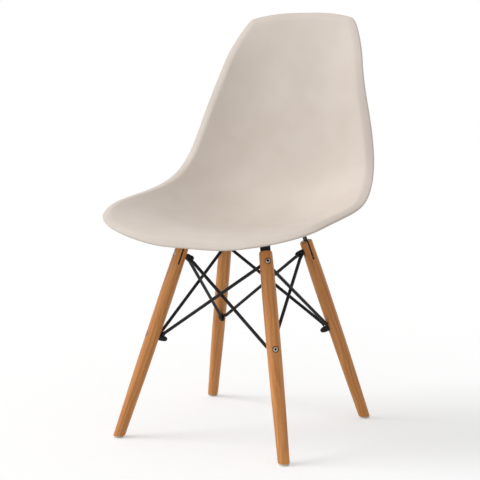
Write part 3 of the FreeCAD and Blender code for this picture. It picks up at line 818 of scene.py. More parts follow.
def pulled(values: Sequence[Any], share: float) -> Any:
    """A smooth uniform cubic spline that starts and ends on its first and last values.

    Args:
        values: Numbers or vectors that pull the line.
        share: How far along it, from 0 to 1.

    Returns:
        The number or vector there.
    """
    degree = 3
    spans = len(values) - degree
    place = min(max(share, 0.0), 1.0) * spans
    span = min(int(place), spans - 1)
    knots = [min(max(index - degree, 0), spans) for index in range(len(values) + degree + 1)]
    held = [values[span + index] for index in range(degree + 1)]
    for order in range(1, degree + 1):
        for index in range(degree, order - 1, -1):
            low = knots[index + span]
            high = knots[index + 1 + span + degree - order]
            mix = (place - low) / (high - low)
            held[index] = held[index - 1] * (1 - mix) + held[index] * mix
    return held[degree]


@dataclass
class SeatShell:
    """The one-piece seat and back, with its rolled rim and the bosses under the seat."""
    width: float = 502.0
    depth: float = 461.0
    height: float = 820.0
    seat: float = 404.0
    wall: float = 5.0
    rim: float = 15.0
    roll: float = 1.5
    drawn_width: float = 501.8
    drawn_depth: float = 461.1
    drawn_middle: float = 2.5
    drawn_height: float = 820.6
    rise: tuple[float, float] = (2.4, 2.8)
    front_corner: tuple[float, float] = (0.71, 0.25)
    top_corner: tuple[float, float] = (0.20, 0.11)
    columns: int = 97
    rows: int = 133
    packing: float = 0.94
    outline_steps: int = 1400
    normal_step: float = 0.002
    bead_steps: int = 8
    weld: float = 0.02
    boss_radius: float = 16.0
    boss_draft: float = 0.6
    boss_edge: float = 0.8
    boss_drop: float = 12.0
    boss_rise: float = 8.0
    gusset_reach: float = 12.0
    gusset: float = 2.6
    insert_radius: float = 4.6
    insert_depth: float = 11.0
    stations: tuple[Station, ...] = (
        Station((-229.5, 388), (169, -233, 395), 2.5),
        Station((-215, 412), (212, -215, 418), 4.5),
        Station((-175, 418), (246.7, -140, 450), 7.0),
        Station((-68, 404), (246.7, -33, 460), 8.5),
        Station((48, 404), (218.7, 67, 480), 9.5),
        Station((129, 439), (203.7, 116, 533), 10.0),
        Station((159, 564), (184.7, 135, 617), 10.0),
        Station((187, 693), (150.2, 160.5, 714), 8.0),
        Station((225, 820.3), (139, 209.5, 800), 3.0),
    )

    @cached_property
    def lines(self) -> tuple[list[Vector], list[Vector]]:
        """The two lines that the face is drawn over, its middle and its edge, at real size.

        Returns:
            The pulls of both lines, from the front lip to the top.
        """
        wide = self.width / self.drawn_width
        deep = self.depth / self.drawn_depth
        rise = (self.height - self.seat) / (self.drawn_height - self.seat)

        def real(x: float, y: float, z: float) -> Vector:
            """One pull, moved to the middle and sized."""
            return Vector((x * wide, (y - self.drawn_middle) * deep,
                           self.seat + (z - self.seat) * rise))

        return ([real(0, *station.middle) for station in self.stations],
                [real(*station.edge) for station in self.stations])

    def sheet(self, across: float, along: float) -> Vector:
        """A point of the face before the rim rolls.

        Args:
            across: From -1 at one side to 1 at the other.
            along: From -1 at the front lip to 1 at the top.

        Returns:
            The point.
        """
        share = (along + 1) / 2
        middle, edge = (pulled(line, share) for line in self.lines)
        power = self.rise[0] + (self.rise[1] - self.rise[0]) * share
        point = middle + (edge - middle) * abs(across) ** power
        point.x = edge.x * across
        return point

    def sheet_normal(self, across: float, along: float) -> Vector:
        """Unit normal of that face, towards the sitter.

        Args:
            across: As for the point.
            along: As for the point.

        Returns:
            The normal.
        """
        step = self.normal_step
        low, high = max(across - step, -1), min(across + step, 1)
        back, forth = max(along - step, -1), min(along + step, 1)
        sideways = self.sheet(high, along) - self.sheet(low, along)
        lengthways = self.sheet(across, forth) - self.sheet(across, back)
        return sideways.cross(lengthways).normalized()

    def corner_rounded(self, across: float, along: float) -> tuple[float, float]:
        """Bends the corners of the square of places into the shell's rounded outline.

        Args:
            across: From -1 to 1 in the square.
            along: From -1 to 1 in the square.

        Returns:
            The place in the outline.
        """
        wide, deep = self.front_corner if along < 0 else self.top_corner
        inward = (abs(across) - (1 - wide)) / wide
        onward = (abs(along) - (1 - deep)) / deep
        if inward <= 0 or onward <= 0:
            return across, along
        return (math.copysign(1 - wide + wide * inward * math.sqrt(1 - onward ** 2 / 2), across),
                math.copysign(1 - deep + deep * onward * math.sqrt(1 - inward ** 2 / 2), along))

    def packed(self, index: int, count: int) -> float:
        """One of a count of steps from -1 to 1 that lie closer together near the ends."""
        half = self.packing * math.pi / 2
        return math.sin(half * (2 * index / (count - 1) - 1)) / math.sin(half)

    def outline(self) -> tuple[KDTree, list[Vector]]:
        """The outline as a dense ring of points in a tree, and the way along it at each.

        Returns:
            The tree, and a unit vector for each of its points.
        """
        steps = [2 * index / self.outline_steps - 1 for index in range(self.outline_steps)]
        walk = [(step, -1) for step in steps] + [(1, step) for step in steps]
        walk += [(-across, -along) for across, along in walk]
        ring = [self.sheet(*self.corner_rounded(*place)) for place in walk]
        tree = KDTree(len(ring))
        for index, point in enumerate(ring):
            tree.insert(point, index)
        tree.balance()
        return tree, [(after - before).normalized()
                      for before, after in zip(ring[-1:] + ring, ring[1:] + ring[:1])]

    def faces(self) -> tuple[Grid, Grid]:
        """The upper face with its rolled rim and the lower face, a wall's thickness below.

        Returns:
            Both faces as grids of points, column by column.
        """
        tree, ways = self.outline()
        drops = [station.rim_drop for station in self.stations]
        upper: Grid = [[] for _ in range(self.columns)]
        lower: Grid = [[] for _ in range(self.columns)]
        for i in range(self.columns):
            for j in range(self.rows):
                place = self.corner_rounded(self.packed(i, self.columns),
                                            self.packed(j, self.rows))
                point, normal = self.sheet(*place), self.sheet_normal(*place)
                nearest, index, _ = tree.find(point)
                way = ways[index]
                offset = point - nearest
                distance = (offset - way * offset.dot(way)).length
                if distance < self.rim:
                    share = 1 - distance / self.rim
                    drop = pulled(drops, (place[1] + 1) / 2)
                    outward = way.cross(normal).normalized()
                    slope = self.roll * drop * share ** (self.roll - 1) / self.rim
                    point = point - normal * drop * share ** self.roll
                    normal = (normal + outward * slope).normalized()
                upper[i].append(point)
                lower[i].append(point - normal * self.wall)
        return upper, lower

    def draped(self, name: str, points: Grid) -> Workpiece:
        """Adds a flat grid and moves its corners to a grid of points.

        Args:
            name: The piece's name.
            points: Where the corners go, in millimetres.

        Returns:
            The piece.
        """
        columns, rows = len(points) - 1, len(points[0]) - 1
        bpy.ops.object.select_all(action="DESELECT")
        bpy.ops.mesh.primitive_grid_add(x_subdivisions=columns, y_subdivisions=rows, size=2)
        piece = Workpiece(bpy.context.object, name)
        for vertex in piece.mesh.vertices:
            i = round((vertex.co.x + 1) / 2 * columns)
            j = round((vertex.co.y + 1) / 2 * rows)
            vertex.co = points[i][j] * MM
        return piece

    def border(self, points: Grid) -> list[Vector]:
        """The outer points of a grid, once round.

        Args:
            points: The grid.

        Returns:
            Its border, from the first point.
        """
        front = [column[0] for column in points]
        top = [column[-1] for column in points[:-1]][::-1]
        return front + points[-1][1:] + top + points[0][1:-1][::-1]

    def bead(self, upper: Grid, lower: Grid) -> Grid:
        """The half-round edge between the two faces, as a grid that closes on itself.

        Args:
            upper: The upper face.
            lower: The lower face.

        Returns:
            One row of points for each point of their borders.
        """
        above, below = self.border(upper), self.border(lower)
        count = len(above)
        turns = [(1, 0)] + arc(math.pi, self.bead_steps)
        points: Grid = []
        for index in range(count + 1):
            over, under = above[index % count], below[index % count]
            middle = (over + under) / 2
            radius = over - middle
            along = above[(index + 1) % count] - above[index - 1]
            outward = along.cross(radius).normalized() * radius.length
            points.append([middle + radius * cosine + outward * sine for cosine, sine in turns])
        return points

    def boss(self, place: LegPlace, under: Callable[[Vector], float]) -> Workpiece:
        """One moulded boss with four gussets, bored for its insert.

        Args:
            place: The leg that it is over.
            under: Gives the height of the middle of the wall over a place.

        Returns:
            The boss, its top buried in the wall.
        """
        stand = BASE.screw(place)
        radius = self.boss_radius * MM
        tall = (self.boss_drop + self.boss_rise) * MM
        edge = self.boss_edge * MM
        boss = Workpiece.disc("boss", 64).turned([
            (radius - edge, 0), (radius - 0.25 * MM, 0.25 * MM), (radius, edge),
            (radius + self.boss_draft * MM, tall)])
        half = self.gusset / 2 * MM
        for turn in range(4):
            rib = block((radius / 2, -half, MM), (radius + self.gusset_reach * MM, half, tall))
            for vertex in rib.mesh.vertices:
                if vertex.co.z < 2 * MM and vertex.co.x > radius:
                    vertex.co.z = (self.boss_drop - 2) * MM
            boss.unite(rib.placed(Matrix.Rotation(math.radians(45 + 90 * turn), 4, "Z")))
        boss.placed(stand)
        for vertex in boss.mesh.vertices:
            if vertex.co.z > stand.translation.z + tall - MM:
                vertex.co.z = under(vertex.co)
        return boss.cut(cylinder(self.insert_radius * MM, stand @ Vector((0, 0, -MM)),
                                 stand @ Vector((0, 0, self.insert_depth * MM))))

    def build(self) -> None:
        """Makes the shell and dresses it."""
        upper, lower = self.faces()
        shell = self.draped("moulded_shell", upper)
        shell.join([self.draped("bead", self.bead(upper, lower)),
                    self.draped("underside", lower)])
        with shell.edited():
            bpy.ops.mesh.remove_doubles(threshold=self.weld * MM)
            bpy.ops.mesh.normals_make_consistent(inside=False)

        def wall_height(place: Vector) -> float:
            """The height of the middle of the wall over a place, met from below."""
            start = Vector((place.x, place.y, 0.3))
            return shell.object.ray_cast(start, UP)[1].z + self.wall / 2 * MM

        bosses = [self.boss(place, wall_height) for place in LegPlace]
        shell.unite(bosses[0].join(bosses[1:])).dress(Finish.SHELL, "seat_shell", smooth=38)


# Legs and glides

@dataclass
class Leg:
    """A turned leg, sawn level at the foot, slotted at the top and drilled across twice."""
    GRAIN = "grain"
    sides: int = 72
    rings: int = 44
    foot_radius: float = 10.8 * MM
    belly_radius: float = 13.7 * MM
    top_radius: float = 12.3 * MM
    belly_from_top: float = 110 * MM
    overrun: float = 12 * MM
    top_rounding: float = 3 * MM
    foot_rounding: float = 1.5 * MM
    edge: float = 0.35 * MM
    shin_swell: float = 0.85
    knee: tuple[float, float] = (0.3, 0.4)
    slot_width: float = 3.4 * MM
    slot_depth: float = 36 * MM
    slot_hole_radius: float = 2.3 * MM
    hole_radius: float = 3.2 * MM
    counterbore_radius: float = 6.25 * MM
    spot_radius: float = 7.0 * MM
    glide: float = 4 * MM
    clear: float = 30 * MM
    grain_shift: tuple[float, float, float] = (71 * MM, 43 * MM, 530 * MM)
    grain_turn: float = 1.9
    grain_start: float = 0.4

    def radius(self, height: float) -> float:
        """The turned radius at a height: a slim shin that swells over the knee to the belly.

        Args:
            height: How far it is up the leg.

        Returns:
            The radius.
        """
        belly = BASE.length - self.belly_from_top
        if height > belly:
            share = (height - belly) / self.belly_from_top
            return self.belly_radius + (self.top_radius - self.belly_radius) * share ** 2
        share = height / belly
        start, span = self.knee
        bent = min(max((share - start) / span, 0.0), 1.0)
        low = share if bent == 0 else start + span * bent * (1 - bent / 2)
        high = span / 2 * bent * bent if bent < 1 else share - (start + span / 2)
        swell = 2 * (self.shin_swell * low + (1 - self.shin_swell) * high)
        return self.foot_radius + (self.belly_radius - self.foot_radius) * swell

    def profile(self) -> Profile:
        """The (radius, height) pairs from below the floor to the rounded top.

        Returns:
            The pairs.
        """
        length, soft = BASE.length, self.top_rounding
        heights = [(length - soft + self.overrun) * index / self.rings - self.overrun
                   for index in range(self.rings + 1)]
        return [(self.radius(height), height) for height in heights] + [
            (self.top_radius - soft * (1 - cosine), length - soft * (1 - sine))
            for cosine, sine in arc(math.pi / 2, 6)]

    def blank(self) -> Workpiece:
        """One leg in its own frame.

        Returns:
            The leg, sawn, slotted and drilled.
        """
        leg = Workpiece.disc("leg", self.sides, math.radians(2.5)).turned(self.profile())
        length, lean, wide = BASE.length, BASE.lean, self.clear
        sole = Vector((math.sin(lean), 0, math.cos(lean)))
        with leg.edited():
            bpy.ops.mesh.bisect(plane_co=sole * self.glide, plane_no=sole, use_fill=True,
                                clear_inner=True)
        leg.rounded(self.foot_rounding, steps=4, angle=50)
        half, floor = self.slot_width / 2, length - self.slot_depth
        leg.cut(block((-half, -wide, floor), (half, wide, length + MM)),
                cylinder(self.slot_hole_radius, Vector((0, -wide, floor)),
                         Vector((0, wide, floor))))
        for level in Level:
            drop, spot_face = level.value
            height = length - drop
            leg.cut(bore(self.hole_radius, height, -wide, wide),
                    bore(self.counterbore_radius, height, BASE.head_seat, wide),
                    bore(self.spot_radius, height, -spot_face, -wide))
        return leg.rounded(self.edge, steps=2, angle=42)

    def build(self) -> None:
        """Makes the four legs, each with its own stretch of grain."""
        blank = self.blank()
        for number, place in enumerate(LegPlace):
            leg = blank.copy("turned_leg_" + place.word)
            own = (Matrix.Translation(Vector(self.grain_shift) * number) @
                   Matrix.Rotation(self.grain_turn * number + self.grain_start, 4, "Z"))
            grain = leg.mesh.attributes.new(self.GRAIN, "FLOAT_VECTOR", "POINT")
            for vertex, item in zip(leg.mesh.vertices, grain.data):
                item.vector = own @ vertex.co
            leg.placed(BASE.leg(place)).dress(Finish.BEECH, "leg_" + place.word, smooth=30)
        blank.remove()


@dataclass
class Glide:
    """A nylon disc under a foot, with a rounded tread and a moulding dimple."""
    radius: float = 9.5 * MM
    thickness: float = 4 * MM
    edge: float = 1.0 * MM
    soft: float = 0.3 * MM
    dimple: float = 2.6 * MM
    pin_radius: float = 2.0 * MM
    pin_length: float = 14 * MM

    def build(self) -> None:
        """Makes the four glides."""
        blank = Workpiece.disc("glide").turned([
            (self.dimple * 0.7, 0.7 * MM), (self.dimple, 0.6 * MM), (self.dimple + 0.4 * MM, 0.0),
            (self.radius - self.edge, 0.0), (self.radius - self.edge * 0.3, self.edge * 0.3),
            (self.radius, self.edge), (self.radius, self.thickness - self.soft),
            (self.radius - self.soft, self.thickness), (self.pin_radius, self.thickness),
            (self.pin_radius, self.pin_length), (self.pin_radius * 0.4, self.pin_length + MM)])
        for place in LegPlace:
            low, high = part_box("glide_" + place.word)
            stand = Matrix.Translation(((low.x + high.x) / 2, (low.y + high.y) / 2, low.z))
            blank.copy("nylon_glide_" + place.word).placed(stand).dress(
                Finish.NYLON, "glide_" + place.word)
        blank.remove()


# Brackets and rods

@dataclass
class Bracket:
    """A bent strip: a tongue down in the leg's slot and a tab in under the boss."""
    width: float = 19.5 * MM
    thickness: float = 3 * MM
    edge: float = 0.35 * MM
    bend: float = 4.5 * MM
    bend_steps: int = 8
    tongue: float = 32 * MM
    tab_run: float = 36 * MM
    tab_hole_radius: float = 3.5 * MM
    bolt_hole_radius: float = 3.2 * MM
    clear: float = 20 * MM

    def sections(self, turn: float, tab: Vector) -> list[Matrix]:
        """The strip's cross-sections in the leg's frame, from the tongue's end to the tab's.

        Args:
            turn: How far the strip bends, in radians.
            tab: The direction of the tab.

        Returns:
            One matrix for each section.
        """
        back = self.bend * math.tan(turn / 2)
        start = BASE.corner - UP * back
        centre = start - Vector((self.bend, 0, 0))
        angles = [turn * step / self.bend_steps for step in range(1, self.bend_steps + 1)]
        places = [(UP * (BASE.length - self.tongue), 0.0), (start, 0.0)]
        places += [(centre + Vector((math.cos(angle), 0, math.sin(angle))) * self.bend, angle)
                   for angle in angles]
        places.append((BASE.corner + tab * self.tab_run, turn))
        scale = oval(self.thickness / math.sqrt(2), self.width / math.sqrt(2))
        return [Matrix.Translation(at) @ Matrix.Rotation(-angle, 4, "Y") @ scale
                for at, angle in places]

    def build(self) -> None:
        """Makes the four brackets."""
        turn = math.pi / 2 - BASE.lean
        tab = Vector((-math.sin(turn), 0, math.cos(turn)))
        strip = Workpiece.disc("bracket", 4, math.pi / 4).sweep(self.sections(turn, tab))
        end = BASE.corner + tab * self.tab_run
        with strip.edited("DESELECT"):
            bpy.ops.mesh.select_mode(type="EDGE")
            for edge in bmesh.from_edit_mesh(strip.mesh).edges:
                first, second = (vertex.co for vertex in edge.verts)
                short = abs((first - second).length - self.thickness) < 0.1 * MM
                edge.select = short and ((first + second) / 2 - end).length < self.width
            bmesh.update_edit_mesh(strip.mesh)
            bpy.ops.mesh.bevel(offset=self.width / 3, segments=6)
        hole = BASE.corner + tab * BASE.tab_hole_run
        through = Vector((math.cos(turn), 0, math.sin(turn))) * self.clear
        strip.cut(cylinder(self.tab_hole_radius, hole - through, hole + through),
                  bore(self.bolt_hole_radius, BASE.length - Level.UPPER.value[0],
                       -self.clear, self.clear))
        strip.rounded(self.edge, steps=2, angle=50)
        for place in LegPlace:
            strip.copy("strip_" + place.word).placed(BASE.leg(place)).dress(
                Finish.BLACK_STEEL, "bracket_" + place.word)
        strip.remove()


@dataclass
class Brace:
    """A round rod from the upper bolt of one leg to the lower bolt of its neighbour."""
    name: str
    upper: LegPlace
    lower: LegPlace
    layer: int
    kick: float
    sides: int = 28
    radius: float = 3.25 * MM
    bend: float = 4 * MM
    bend_steps: int = 8
    neck: float = 12 * MM
    neck_steps: int = 6
    neck_half_width: float = 3.6 * MM
    eye_radius: float = 6.0 * MM
    eye_margin: float = 0.5 * MM
    eye_soft: float = 0.5 * MM
    hole_radius: float = 3.2 * MM

    def eye_place(self, place: LegPlace, level: Level) -> tuple[Vector, Vector]:
        """The middle of a flattened eye, and the outward direction of its bolt.

        Args:
            place: The leg.
            level: The bolt.

        Returns:
            The middle and the direction.
        """
        depth = level.value[1] + BASE.spacer + (self.layer + 0.5) * BASE.eye
        stand = BASE.bolt(place, level, -depth)
        return stand.translation, (stand.to_3x3() @ UP).normalized()

    def corner(self, eye: Vector, outward: Vector, other: Vector) -> tuple[Vector, Vector]:
        """Where the rod leaves its eye's plane, and its direction in that plane.

        Args:
            eye: The middle of the eye.
            outward: The direction of its bolt.
            other: The middle of the eye at the other end.

        Returns:
            The corner and the direction.
        """
        run = other - eye
        in_plane = (run - outward * run.dot(outward)).normalized()
        return eye + in_plane * self.neck + outward * self.kick, in_plane

    def section(self, at: Vector, along: Vector, broad: Vector, half_width: float,
                half_thickness: float) -> Matrix:
        """One oval cross-section.

        Args:
            at: Its middle.
            along: The way the rod runs there.
            broad: The way that it is broad.
            half_width: Half its breadth.
            half_thickness: Half its thickness.

        Returns:
            Where the disc of radius 1 goes.
        """
        thin = along.cross(broad).normalized()
        wide = thin.cross(along).normalized()
        return framed(at, wide, thin, along) @ oval(half_width, half_thickness)

    def half(self, eye: Vector, outward: Vector, corner: Vector, in_plane: Vector,
             far: Vector) -> list[Matrix]:
        """Cross-sections from inside an eye, through the neck's swell and the bend.

        Args:
            eye: The middle of the eye.
            outward: The direction of its bolt.
            corner: Where the rod bends.
            in_plane: The way that it leaves the eye.
            far: The corner at the other end.

        Returns:
            One matrix for each section.
        """
        broad = outward.cross(in_plane).normalized()
        neck = eye + in_plane * (self.eye_radius + self.eye_margin)
        inward = (neck - corner).normalized()
        onward = (far - corner).normalized()
        turn = math.pi - inward.angle(onward)
        back = self.bend * math.tan(turn / 2)
        start = corner + inward * back
        centre = corner + (inward + onward).normalized() * (self.bend / math.cos(turn / 2))
        axis = (start - centre).cross(corner + onward * back - centre).normalized()
        flat = BASE.eye / 2
        # Inside the eye the strip is a hair broader and thinner, so that the two fuse cleanly
        sections = [
            self.section(eye + in_plane * self.eye_radius * share, in_plane, broad,
                         self.neck_half_width * 1.08, flat * 0.98) for share in (0.55, 1.0)]
        for step in range(self.neck_steps + 1):
            share = step / self.neck_steps
            ease = share * share * (3 - 2 * share)
            sections.append(self.section(
                neck.lerp(start, share), in_plane.lerp(-inward, min(share * 2.5, 1)).normalized(),
                broad, self.neck_half_width + (self.radius - self.neck_half_width) * ease,
                flat + (self.radius - flat) * min(ease * 1.15, 1)))
        for step in range(1, self.bend_steps + 1):
            turned = Matrix.Rotation(turn * step / self.bend_steps, 3, axis)
            sections.append(self.section(centre + turned @ (start - centre), turned @ -inward,
                                         turned @ broad, self.radius, self.radius))
        return sections

    def untwisted(self, before: Matrix, sections: list[Matrix]) -> list[Matrix]:
        """Turns the discs of a run about their own axes, so that they follow the one before.

        Args:
            before: The section that they follow.
            sections: The run.

        Returns:
            The run, turned by whole steps between the disc's corners.
        """
        own = sections[0].to_3x3().normalized()
        other = before.to_3x3().normalized()
        x = own.inverted() @ other.col[0]
        step = 2 * math.pi / self.sides
        turn = Matrix.Rotation(round(math.atan2(x.y, x.x) / step) * step, 4, "Z")
        return [matrix @ turn for matrix in sections]

    def eye(self, at: Vector, outward: Vector) -> Workpiece:
        """A pressed eye with soft edges.

        Args:
            at: Its middle.
            outward: The direction of its bolt.

        Returns:
            The eye, not yet drilled.
        """
        half, soft = BASE.eye / 2, self.eye_soft
        upper = [(self.eye_radius, half - soft), (self.eye_radius - soft * 0.3, half - soft * 0.3),
                 (self.eye_radius - soft, half)]
        lower = [(radius, -height) for radius, height in reversed(upper)]
        return Workpiece.disc("eye").turned(lower + upper).placed(pointed(at, outward))

    def build(self) -> None:
        """Makes the rod with both eyes."""
        upper, upper_out = self.eye_place(self.upper, Level.UPPER)
        lower, lower_out = self.eye_place(self.lower, Level.LOWER)
        first, first_along = self.corner(upper, upper_out, lower)
        second, second_along = self.corner(lower, lower_out, upper)
        near = self.half(upper, upper_out, first, first_along, second)
        far = self.half(lower, lower_out, second, second_along, first)
        flip = Matrix.Diagonal((1, -1, -1, 1))
        sections = near + self.untwisted(near[-1], [matrix @ flip for matrix in reversed(far)])
        rod = Workpiece.disc("rod_" + self.name, self.sides).sweep(sections)
        rod.unite(self.eye(upper, upper_out), self.eye(lower, lower_out))
        for at, out in ((upper, upper_out), (lower, lower_out)):
            through = out * self.eye_radius
            rod.cut(cylinder(self.hole_radius, at - through, at + through))
        rod.dress(Finish.BLACK_STEEL, "brace_" + self.name, smooth=40)


# Crossed rods pass each other by their kicks; the two eyes on a bolt lie in different layers
OUTWARD, INWARD = 1.4 * MM, -8.924 * MM
BRACES = (
    Brace("front_outer", LegPlace.FRONT_RIGHT, LegPlace.FRONT_LEFT, 1, OUTWARD),
    Brace("front_inner", LegPlace.FRONT_LEFT, LegPlace.FRONT_RIGHT, 1, INWARD),
    Brace("left_outer", LegPlace.REAR_LEFT, LegPlace.FRONT_LEFT, 0, OUTWARD),
    Brace("left_inner", LegPlace.FRONT_LEFT, LegPlace.REAR_LEFT, 0, INWARD),
    Brace("rear_outer", LegPlace.REAR_LEFT, LegPlace.REAR_RIGHT, 1, OUTWARD),
    Brace("rear_inner", LegPlace.REAR_RIGHT, LegPlace.REAR_LEFT, 1, INWARD),
    Brace("right_outer", LegPlace.FRONT_RIGHT, LegPlace.REAR_RIGHT, 0, OUTWARD),
    Brace("right_inner", LegPlace.REAR_RIGHT, LegPlace.FRONT_RIGHT, 0, INWARD),
)


# Fasteners

@dataclass
class Fasteners:
    """Bolts, nuts, spacers, seat screws, washers, inserts and pads."""
    screw_radius: float = 3 * MM
    head_radius: float = 5.25 * MM
    head_height: float = 3.3 * MM
    head_edge: float = 0.22
    key: float = 4 * MM
    key_depth: float = 2.6 * MM
    pitch: float = 1 * MM
    root: float = 0.82
    bolt_thread: float = 14 * MM
    screw_thread: float = 9 * MM
    screw_length: float = 16 * MM
    hole_radius: float = 3.2 * MM
    washer_radius: float = 7 * MM
    washer: float = 1.2 * MM
    insert_radius: float = 4.5 * MM
    insert_bore: float = 3.1 * MM
    insert_length: float = 11 * MM
    pad_radius: float = 14 * MM
    pad_bore: float = 3.5 * MM
    spacer_radius: float = 6.0 * MM
    nut_flats: float = 10 * MM
    nut_height: float = 5 * MM
    nut_bore_depth: float = 7 * MM
    dome_radius: float = 4.7 * MM
    dome_height: float = 4.4 * MM
    engagement: float = 6.5 * MM

    def screw(self, name: str, length: float, thread: float) -> Workpiece:
        """A button-head screw: its head's seat at Z 0, its shank down.

        Args:
            name: The piece's name.
            length: Its length under the head.
            thread: How much of that has a thread.

        Returns:
            The screw, its socket, the sides of its head and its shank marked for painted shade.
        """
        head, tall, shank = self.head_radius, self.head_height, self.screw_radius
        edge = self.head_edge
        crown = [(head, 0.0), (head, tall * edge)] + [
            (head * (0.5 + 0.5 * cosine), tall * (edge + (1 - edge) * sine))
            for cosine, sine in arc(math.pi / 2, 8)]
        top = thread - length
        shaft = [(shank, 0.0), (shank, top)]
        for index in range(int((top - (0.8 * MM - length)) / self.pitch)):
            ridge = top - index * self.pitch
            shaft += [(shank, ridge), (shank * self.root, ridge - self.pitch / 2)]
        shaft += [(shank * 0.8, 0.4 * MM - length), (shank * 0.7, -length)]
        screw = Workpiece.disc(name, 40).turned(shaft[::-1] + crown)
        corner = self.key / math.sqrt(3)
        screw.cut(
            Workpiece.disc("socket", 6).turned([(corner, tall - self.key_depth),
                                                (corner, tall + MM)]),
            Workpiece.disc("mouth", 40).turned([(self.key * 0.35, tall - self.key * 0.3),
                                                (self.key * 0.75, tall + self.key * 0.1)]))
        # Marks the socket, the head's sides and the shank, where the material lays painted shade.
        recess = screw.mesh.attributes.new(PlatedMetal.RECESS, "FLOAT", "POINT")
        for vertex, item in zip(screw.mesh.vertices, recess.data):
            spread = math.hypot(vertex.co.x, vertex.co.y)
            item.value = float(vertex.co.z < tall * 0.3 or spread < self.key * 0.62)
        return screw

    def ring(self, name: str, inner: float, outer: float, low: float, high: float,
             soft: float = 0.25 * MM) -> Workpiece:
        """A flat ring with softened edges.

        Args:
            name: The piece's name.
            inner: Its inner radius.
            outer: Its outer radius.
            low: The height of its lower face.
            high: The height of its upper face.
            soft: How far its outer edges are taken off.

        Returns:
            The ring.
        """
        ring = Workpiece.disc(name).turned([
            (outer - soft, low), (outer, low + soft), (outer, high - soft), (outer - soft, high)])
        return ring.cut(cylinder(inner, UP * (low - MM), UP * (high + MM)))

    def nut(self) -> Workpiece:
        """A domed cap nut that hangs down from Z 0.

        Returns:
            The nut.
        """
        low, flats = -self.nut_height, self.nut_flats
        corner = flats / math.sqrt(3)
        nut = Workpiece.disc("nut", 6).turned([(corner, low), (corner, 0)])
        nut.boolean("INTERSECT", Workpiece.disc("chamfer").turned([
            (flats * 0.46, low - 0.01 * MM), (flats * 0.50, low + 0.4 * MM),
            (flats * 0.60, low + 1.3 * MM), (flats * 0.60, -0.7 * MM),
            (flats * 0.52, 0.01 * MM)]))
        dome = [(0.2 * MM, low - self.dome_height)] + [
            (self.dome_radius * sine, low - self.dome_height * cosine)
            for cosine, sine in arc(math.pi / 2, 8)]
        nut.unite(Workpiece.disc("cap").turned(dome + [(self.dome_radius, low / 2)]))
        return nut.cut(cylinder(self.screw_radius + 0.1 * MM, UP * -self.nut_bore_depth, UP * MM))

    def spread(self, blank: Workpiece, name: str, finish: Finish, node: str,
               stands: Sequence[Matrix]) -> None:
        """Copies a blank to the four legs as one group.

        Args:
            blank: The piece, which is used up.
            name: The group's name.
            finish: Its finish.
            node: The node that it stands for.
            stands: Where the copies go.
        """
        pieces = [blank.copy(name if not number else "twin").placed(stand)
                  for number, stand in enumerate(stands)]
        pieces[0].join(pieces[1:]).dress(finish, node, smooth=35)
        blank.remove()

    def build(self) -> None:
        """Makes every fastener."""
        for level in Level:
            spot = level.value[1]
            nut_face = spot + BASE.spacer + 2 * BASE.eye
            bolt = self.screw("bolt", BASE.head_seat + nut_face + self.engagement,
                              self.bolt_thread)
            spacer = self.ring("spacer", self.hole_radius, self.spacer_radius, -BASE.spacer, 0)
            for blank, name, finish, node, distance in (
                    (bolt, "cross_bolts_", Finish.STEEL, "leg_bolts_", BASE.head_seat),
                    (spacer, "bolt_spacers_", Finish.BLACK_STEEL, "spacers_", -spot),
                    (self.nut(), "cap_nuts_", Finish.BLACK_STEEL, "dome_nuts_", -nut_face)):
                self.spread(blank, name + level.word, finish, node + level.word,
                            [BASE.bolt(place, level, distance) for place in LegPlace])
        stands = [BASE.screw(place) for place in LegPlace]
        tab = -BASE.pad - BASE.strip
        self.spread(self.ring("pad", self.pad_bore, self.pad_radius, -BASE.pad, 0, 0.5 * MM),
                    "seat_pads", Finish.RUBBER, "seat_pad_front_left", stands)
        self.spread(self.ring("washer", self.hole_radius, self.washer_radius, tab - self.washer,
                              tab, 0.15 * MM), "tab_washers", Finish.STEEL, "seat_washers", stands)
        turned = (Matrix.Translation((0, 0, tab - self.washer)) @
                  Matrix.Rotation(math.pi, 4, "X"))
        self.spread(self.screw("seat_screw", self.screw_length, self.screw_thread), "tab_screws",
                    Finish.STEEL, "seat_screws", [stand @ turned for stand in stands])
        self.spread(self.ring("insert", self.insert_bore, self.insert_radius, 0,
                              self.insert_length), "boss_inserts", Finish.BRASS, "seat_inserts",
                    stands)
        for place in list(LegPlace)[1:]:
            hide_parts("seat_pad_" + place.word)


# The studio

